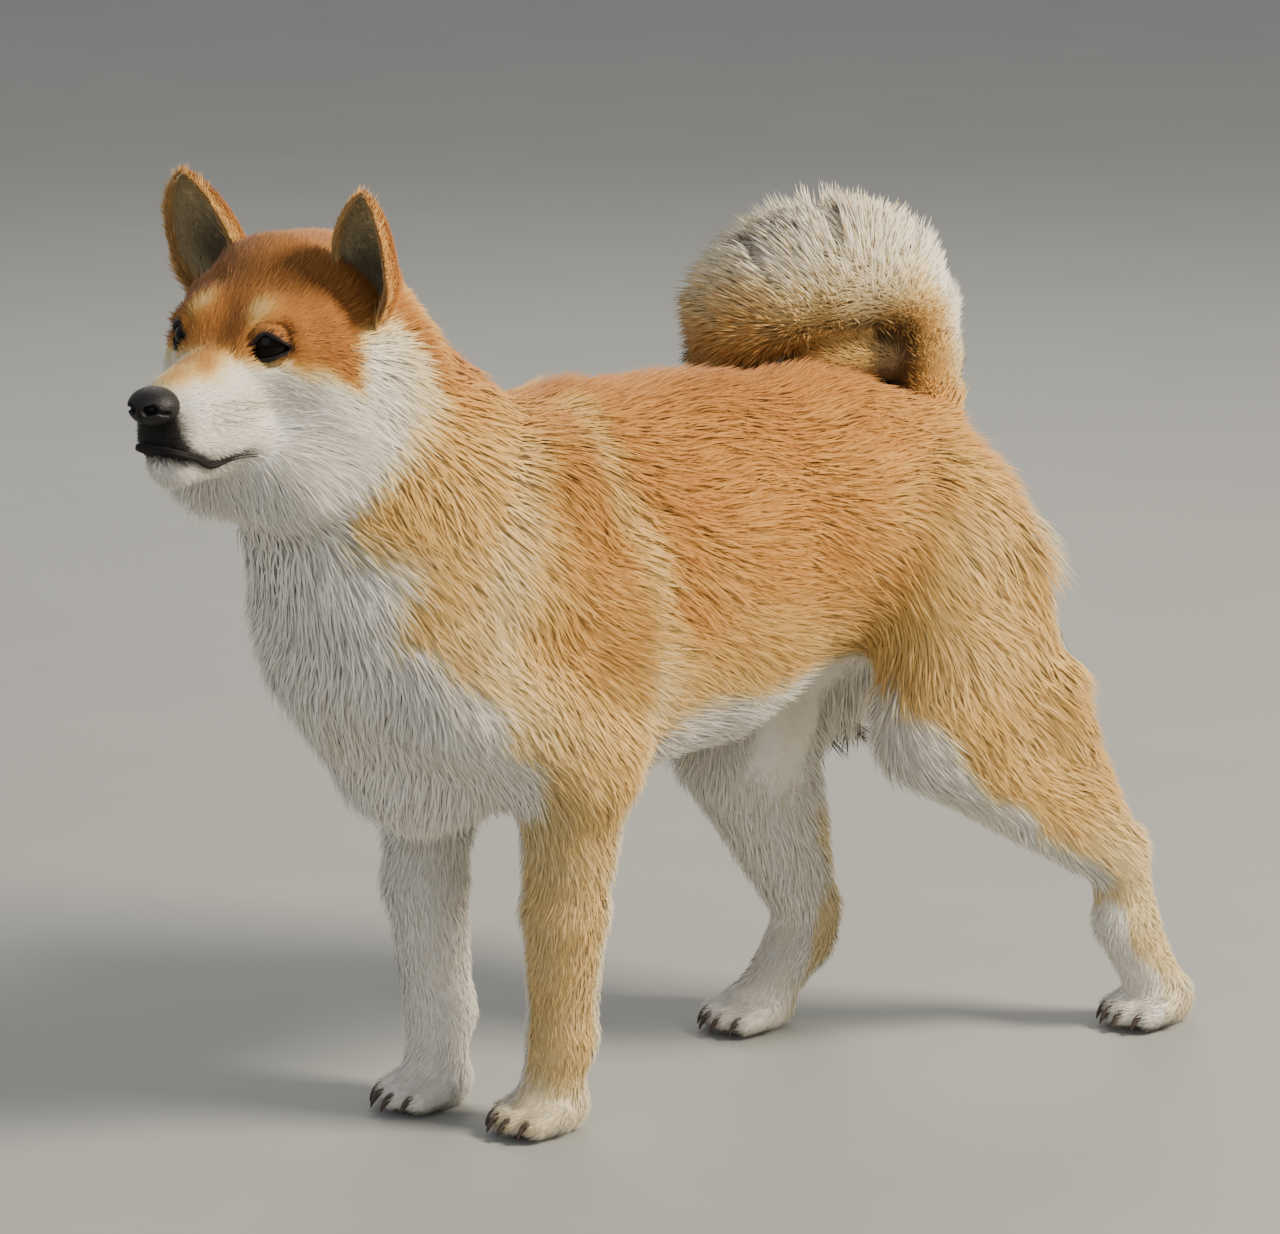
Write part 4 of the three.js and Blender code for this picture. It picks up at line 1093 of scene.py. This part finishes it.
def ear_shell(side, s, t):
    """Points and faces of the back of an ear, its cup and the rim between them."""
    rows, columns = s.shape
    back = ear_sheet(side, 0.8, s, t).reshape(-1, 3)
    cup = ear_sheet(side, 3.0, s, t * 0.98).reshape(-1, 3)
    edge = np.concatenate([np.arange(rows) * columns, (rows - 1) * columns + np.arange(1, columns),
                           (np.arange(rows)[::-1][1:] * columns) + columns - 1,
                           np.arange(1, columns)[::-1][1:]])
    following = np.roll(edge, -1)
    rim = np.stack([edge, following, following + rows * columns, edge + rows * columns], 1)
    p = from_head(np.concatenate([back, cup]))
    faces = np.concatenate([grid_faces(rows, columns),
                            grid_faces(rows, columns)[:, ::-1] + rows * columns, rim[:, ::-1]])
    # The back has to face away from the cup.
    apart = p[:len(back)] - p[len(back):]
    if np.einsum("ij,ij->i", face_normals(p, faces)[:len(back)], apart).mean() < 0:
        faces = faces[:, ::-1]
    return p, faces


print("ears", np.linalg.norm(EAR_TIP - EAR_ROOT).round(1), "mm from root to tip")

# %% Ears
for name, side in (("left", -1), ("right", 1)):
    t, s = np.meshgrid(np.linspace(-0.2, 0.985, 22), np.linspace(0, 1, 26), indexing="ij")
    p, faces = ear_shell(side, s, t)
    inner = np.repeat([0.0, 1.0], s.size)
    rim_near = np.tile(np.minimum(s, 1 - s).ravel(), 2)
    whiteness = np.where(inner > 0, 0.7 - 0.38 * smooth(rim_near, 0.07, 0.01),
                         0.1 + 0.26 * smooth(rim_near, 0.14, 0.02))
    # The cup's own shade is painted into its coat, darkest at the bottom.
    rise = np.tile(t.ravel(), 2)
    black_and_shade = inner * (0.3 + 0.5 * smooth(rim_near, 0.1, 0.4) * smooth(rise, 0.85, 0.2))
    black_and_shade *= smooth(rim_near, 0.02, 0.12)
    ear = build("ear_shell_" + name, p, faces, SKIN, replaced=["ear_" + name],
                marks=mark_array(whiteness, np.full(len(p), 0.5), np.full(len(p), 0.6),
                                 black_and_shade))
    ear_uv = unwrap(ear)
    n = face_normals(p, faces)
    density = np.where(inner > 0, 0.9, 1.0)
    face, shares = roots_on(p, faces, density, 9000)
    corners = faces[face]
    root_n = unit(np.einsum("ij,ijk->ik", shares, n[corners]))
    up = HEAD_TURN @ ((EAR_TIP - EAR_ROOT) * [1, side, 1])
    inside_ = np.einsum("ij,ij->i", shares, inner[corners])
    edge_ = np.einsum("ij,ij->i", shares, rim_near[corners])
    low_ = smooth(np.einsum("ij,ij->i", shares, rise[corners]), 0.3, 0.05)
    # Short behind, longer from the edge into the hollow, and longest at the foot of the ear.
    long_ = 5 + 6 * inside_ * smooth(edge_, 0.35, 0.05) + 8 * low_
    made = tufts(np.einsum("ij,ijk->ik", shares, p[corners]), root_n,
                 np.tile(unit(up), (len(face), 1)), long_,
                 np.full(len(face), 1.0), 1.6 + 0.8 * inside_ + 2 * low_,
                 np.einsum("ij,ij->i", shares, whiteness[corners]),
                 np.einsum("ij,ij->i", shares, black_and_shade[corners]), ear_uv[face], 1, soft=0)
    plant("coat_ear_" + name, made)

# %% [markdown]
# ## Eyes and lids
# The eyeball is dark brown, nearly black, and wet, and only a slanting almond of it shows between
# the lids. Blender's own sphere could serve, but lids cut from it wouldn't follow the almond. So
# the ball is a grid, and the lids are rings that start on the almond, turn over its edge and run
# out on a slightly larger ball. Their first rings are bare and dark, the rest has short hair.

# %% Ball
def ball(radius, rows=32, columns=48):
    """Points and faces of a ball round the origin."""
    polar, round_ = np.meshgrid(np.linspace(0.01, math.pi - 0.01, rows),
                                np.linspace(0, 2 * math.pi, columns), indexing="ij")
    p = np.stack([np.sin(polar) * np.cos(round_), np.sin(polar) * np.sin(round_),
                  np.cos(polar)], -1)
    return (p * radius).reshape(-1, 3), grid_faces(rows, columns)[:, ::-1]


def round_faces(rows, columns):
    """Faces of rows of points that close round."""
    r, c = np.meshgrid(np.arange(rows - 1), np.arange(columns), indexing="ij")
    a, b = (r * columns + c).ravel(), (r * columns + (c + 1) % columns).ravel()
    return np.stack([a, b, b + columns, a + columns], 1)


print("a ball has", len(ball(1.0)[1]), "faces")

# %% Eyes
# Rings of a lid: the share of the way from the almond out to the socket, and the height over the
# middle of the eyeball.
LID_RADIUS = EYE_RADIUS + 1.7
LID_RINGS = ((-0.2, EYE_RADIUS - 0.4), (-0.16, EYE_RADIUS + 0.6), (-0.1, EYE_RADIUS + 1.1),
             (0.0, LID_RADIUS - 0.2), (0.15, LID_RADIUS), (0.35, LID_RADIUS), (0.55, LID_RADIUS),
             (0.8, LID_RADIUS - 0.2), (1, LID_RADIUS - 0.6))
BARE_RINGS = 3
for name, side in (("left", -1), ("right", 1)):
    middle, out, across, up = eye_frame(side)
    p, faces = ball(EYE_RADIUS - 0.15)
    build("eyeball_" + name, from_head(p + middle), faces, EYE_WET,
          replaced=["eye_" + name])
    rim = closed_curve(ALMOND, RIM_POINTS)
    lid_edge = unit(rim) * 12.9
    rings = []
    for k, r in LID_RINGS:
        q = rim * (1 - k) + lid_edge * k
        rise = np.sqrt(np.maximum(r ** 2 - (q ** 2).sum(1), 1))
        rings.append(middle + q[:, :1] * across + q[:, 1:] * up + rise[:, None] * out)
    p = from_head(np.concatenate(rings))
    faces = round_faces(len(rings), RIM_POINTS)
    n = face_normals(p, faces)
    if (n @ (HEAD_TURN @ out)).mean() < 0:
        faces, n = faces[:, ::-1], -n
    whiteness, black_and_shade = head_markings(to_head(p)), head_black_and_shade(to_head(p))
    lid = build("lids_" + name, p, faces, SKIN,
                marks=mark_array(whiteness, np.full(len(p), 0.5), np.full(len(p), 0.55),
                                 black_and_shade))
    lid.data.materials.append(LIP_SKIN)
    bare = BARE_RINGS * RIM_POINTS
    dark = np.zeros(len(faces), np.int32)
    dark[:bare] = 1
    lid.data.polygons.foreach_set("material_index", dark)
    lid_uv = unwrap(lid)
    outer = faces[bare:]
    face, shares = roots_on(p, outer, 1.02 - black_and_shade, 2000)
    corners = outer[face]
    made = tufts(np.einsum("ij,ijk->ik", shares, p[corners]),
                 unit(np.einsum("ij,ijk->ik", shares, n[corners])),
                 np.tile(HEAD_TURN @ unit([0.9, side * 0.5, 0.25]), (len(face), 1)),
                 np.full(len(face), 4.5), np.full(len(face), 0.8), np.full(len(face), 1.3),
                 np.einsum("ij,ij->i", shares, whiteness[corners]),
                 np.einsum("ij,ij->i", shares, black_and_shade[corners]), lid_uv[face + bare], 1)
    plant("coat_lids_" + name, made)

# %% [markdown]
# ## The nose
# The pad of the nose is a rounded block of bare skin with comma-shaped nostrils and a cleft
# below. The holes could be cut with Booleans, which leave ragged edges on so small a form. So a
# fine ball is stretched to the pad's size, and its points are pushed in where they are near a
# nostril or the cleft.


# %% Nose
def near_segment(p, a, b):
    """Distance from points to a straight line from a to b."""
    a, b = np.array(a, float), np.array(b, float)
    t = np.clip((p - a) @ (b - a) / ((b - a) @ (b - a)), 0, 1)
    return np.linalg.norm(p - a - t[:, None] * (b - a), axis=1)


NOSE_MIDDLE, NOSE_HALF = np.array([-68.5, 0, -18.5]), np.array([13, 13.5, 10])
p, faces = ball(1.0, 72, 120)
p = p[:, [2, 1, 0]] * NOSE_HALF + NOSE_MIDDLE
faces = faces[:, ::-1]
inward = unit(NOSE_MIDDLE - p)
for side in BOTH:
    hole = near_segment(p, [-80.5, side * 4.8, -18.5], [-79, side * 7.2, -17.8])
    slit = near_segment(p, [-79, side * 7.2, -18.2], [-72.5, side * 13, -20.5])
    p = p + inward * (5.5 * smooth(hole, 3.2, 1.4))[:, None]
    p = p + inward * (2.4 * smooth(slit, 1.7, 0.6) * (hole > 2.5))[:, None]
p = p + inward * (1.3 * smooth(np.abs(p[:, 1]), 0.9, 0.2) * smooth(p[:, 2], -16, -21))[:, None]
build("nose_pad", from_head(p), faces, NOSE_SKIN, replaced=["nose"])
print("nose pad", 2 * NOSE_HALF, "mm long, wide and high")


# %% [markdown]
# ## The lips
# With the mouth closed only the dark edges of the two lips show, one over the other. A curve with
# a bevel would do, but its thickness is harder to taper. So each lip is a tube along the line of
# the mouth that is worked out above, and thins out at its corners.

# %% Lips
def tube(path, radii, sides=10):
    """A tube along points, with a radius at each."""
    path = np.asarray(path, float)
    forward = unit(np.gradient(path, axis=0))
    first = unit(np.cross(forward, [0.0, 0.0, 1.0]))
    second = np.cross(first, forward)
    angles = np.linspace(0, 2 * math.pi, sides, endpoint=False)
    ring = (np.cos(angles)[None, :, None] * first[:, None]
            + np.sin(angles)[None, :, None] * second[:, None])
    p = (path[:, None] + ring * np.asarray(radii)[:, None, None]).reshape(-1, 3)
    return p, round_faces(len(path), sides)


# The lips lie 0.7 mm inside the top of the coat, and thin out over ten points at each corner.
LIP_INSIDE = 0.7
step = np.arange(MOUTH_POINTS)
thin = np.clip(np.minimum(step, step[::-1]) / 10, 0.2, 1)
for name, rise, radius in (("upper_lip", 0.5, 1.1), ("lower_lip", -0.7, 1.3)):
    p, faces = tube(mouth - heading * LIP_INSIDE + [0, 0, rise], radius * thin)
    build(name, from_head(p), faces, LIP_SKIN)
    print(name, 2 * radius, "mm thick")

# %% [markdown]
# ## Whiskers
# The whiskers are stiff single hairs in rows on the sides of the muzzle. They could be thin
# curves, but the tufts already are what they need: long, tapered blades that stand far apart and
# out from the skin.

# %% Whiskers
rows = [(x, side, z) for side in BOTH for z in (-24, -29, -34) for x in (-44, -36, -28, -20)]
root = np.array([[x, side * 6, z - 0.1 * x] for x, side, z in rows], float)
outwards = np.array([[-0.2, side, 0] for x, side, z in rows], float)
root = push_out(root, outwards, 40)
count = len(rows)
made = tufts(from_head(root), unit(outwards) @ HEAD_TURN.T,
             (np.array([1.0, 0, -0.25]) + outwards * 0.2) @ HEAD_TURN.T,
             rng.uniform(22, 34, count), np.full(count, 0.5), np.full(count, 11.0),
             np.full(count, 0.9), np.full(count, 0.35), skin_place(from_head(root), "head"), 3,
             soft=0, bend=0.5, stray=0.12)
plant("whiskers", made)

# %% [markdown]
# ## Claws
# Each toe ends in a short, dark, blunt claw that curves down to the floor. A bent cone would do.
# A tube that thins along a bent line is the same thing, and the lips' function makes it.

# %% Claws
# A claw's line from inside the toe to its tip, with a radius at each point.
CLAW_LINE = np.array([[2, 0, 12], [-3, 0, 12], [-6, 0, 11.4], [-9, 0, 9.4], [-11.3, 0, 6.4],
                      [-12.5, 0, 3.4]])
CLAW_RADII = [2.1, 2.1, 2.0, 1.7, 1.1, 0.25]
claw_points, claw_faces, claw_names = [], [], []
for name, (side, x, y) in FEET.items():
    for n, place in enumerate(TOES):
        path = CLAW_LINE + [x - toe_reach(place), side * y + place * TOE_SPREAD, 0]
        p, faces = tube(path, CLAW_RADII, 12)
        claw_faces.append(faces + sum(len(q) for q in claw_points))
        claw_points.append(p)
        claw_names.append(f"claw_{name}_{n + 1}")
build("claws", np.concatenate(claw_points), np.concatenate(claw_faces), CLAW_HORN,
      replaced=claw_names)
print(len(claw_names), "claws")

# %% [markdown]
# ## Studio
# The dog stands on a plain pale floor in soft studio light. One large light from in front and
# above does the work of a sun behind thin cloud, a second fills the shade with sky, and a third
# from behind parts the back from the floor.

# %% Floor
bpy.ops.mesh.primitive_plane_add(size=24, location=(0, 0, 0))
floor = bpy.context.object
floor.name = "floor"
# Matt paint, rolled on in broad patches. It gives a dull, even grey that takes soft shadows.
floor_paint = Paint("matte studio floor")
place = floor_paint.node("NewGeometry").outputs["Position"]
grain = floor_paint.node("TexNoise", None, Vector=place, Scale=waves(167))
tint = floor_paint.node("Mix", {"data_type": "RGBA"},
                        i0=grain.outputs["Fac"], i6=colour("#979895"), i7=colour("#9e9f9b"))
floor.data.materials.append(floor_paint.finish(Base_Color=tint.outputs[2], Roughness=0.9))
print("floor", floor.dimensions.x, "m wide")

# %% Light
world = bpy.data.worlds.new("studio")
bpy.context.scene.world = world
world.use_nodes = True
world.node_tree.nodes["Background"].inputs["Color"].default_value = colour("#e8ebf0")
world.node_tree.nodes["Background"].inputs["Strength"].default_value = 0.54


def area_light(name, place, target, size, power, tint_):
    """A square light at a place, turned to a target, in metres and watts."""
    light = bpy.data.lights.new(name, "AREA")
    light.size = size
    light.energy = power
    light.color = colour(tint_)[:3]
    made = bpy.data.objects.new(name, light)
    made.location = place
    made.rotation_euler = (Vector(target) - Vector(place)).to_track_quat("-Z", "Y").to_euler()
    bpy.context.scene.collection.objects.link(made)


area_light("sun", (1.5, -2.1, 2.5), (0, 0, 0.25), 0.9, 215, "#fff2dc")
area_light("sky", (-2.2, -1.6, 1.6), (0, 0, 0.3), 1.8, 11, "#e9f0ff")
area_light("back", (1.2, 1.9, 2.0), (0, 0, 0.3), 1.2, 30, "#fff8ec")

print("lights:", *(light.name for light in bpy.data.lights))

# %% [markdown]
# ## Camera
# The dog is seen from a good three metres away, from in front of its left side and a little
# above. The place and the lens were worked out from the feet, the line of the back and the head,
# so that all of these fall where they should in the frame.

# %% Camera
LENS_MM = 165.16
CAMERA_PLACE, CAMERA_TARGET = [-1660.3, -2590.0, 960.0], [86.7, 0, 267.4]
lens = bpy.data.cameras.new("camera")
lens.sensor_width = 36
lens.lens = LENS_MM
camera = bpy.data.objects.new("camera", lens)
place, target = Vector(to_world(CAMERA_PLACE)), Vector(to_world(CAMERA_TARGET))
camera.location = place
camera.rotation_euler = (target - place).to_track_quat("-Z", "Y").to_euler()
bpy.context.scene.collection.objects.link(camera)
bpy.context.scene.camera = camera
print("camera", round((target - place).length, 2), "m from its target")
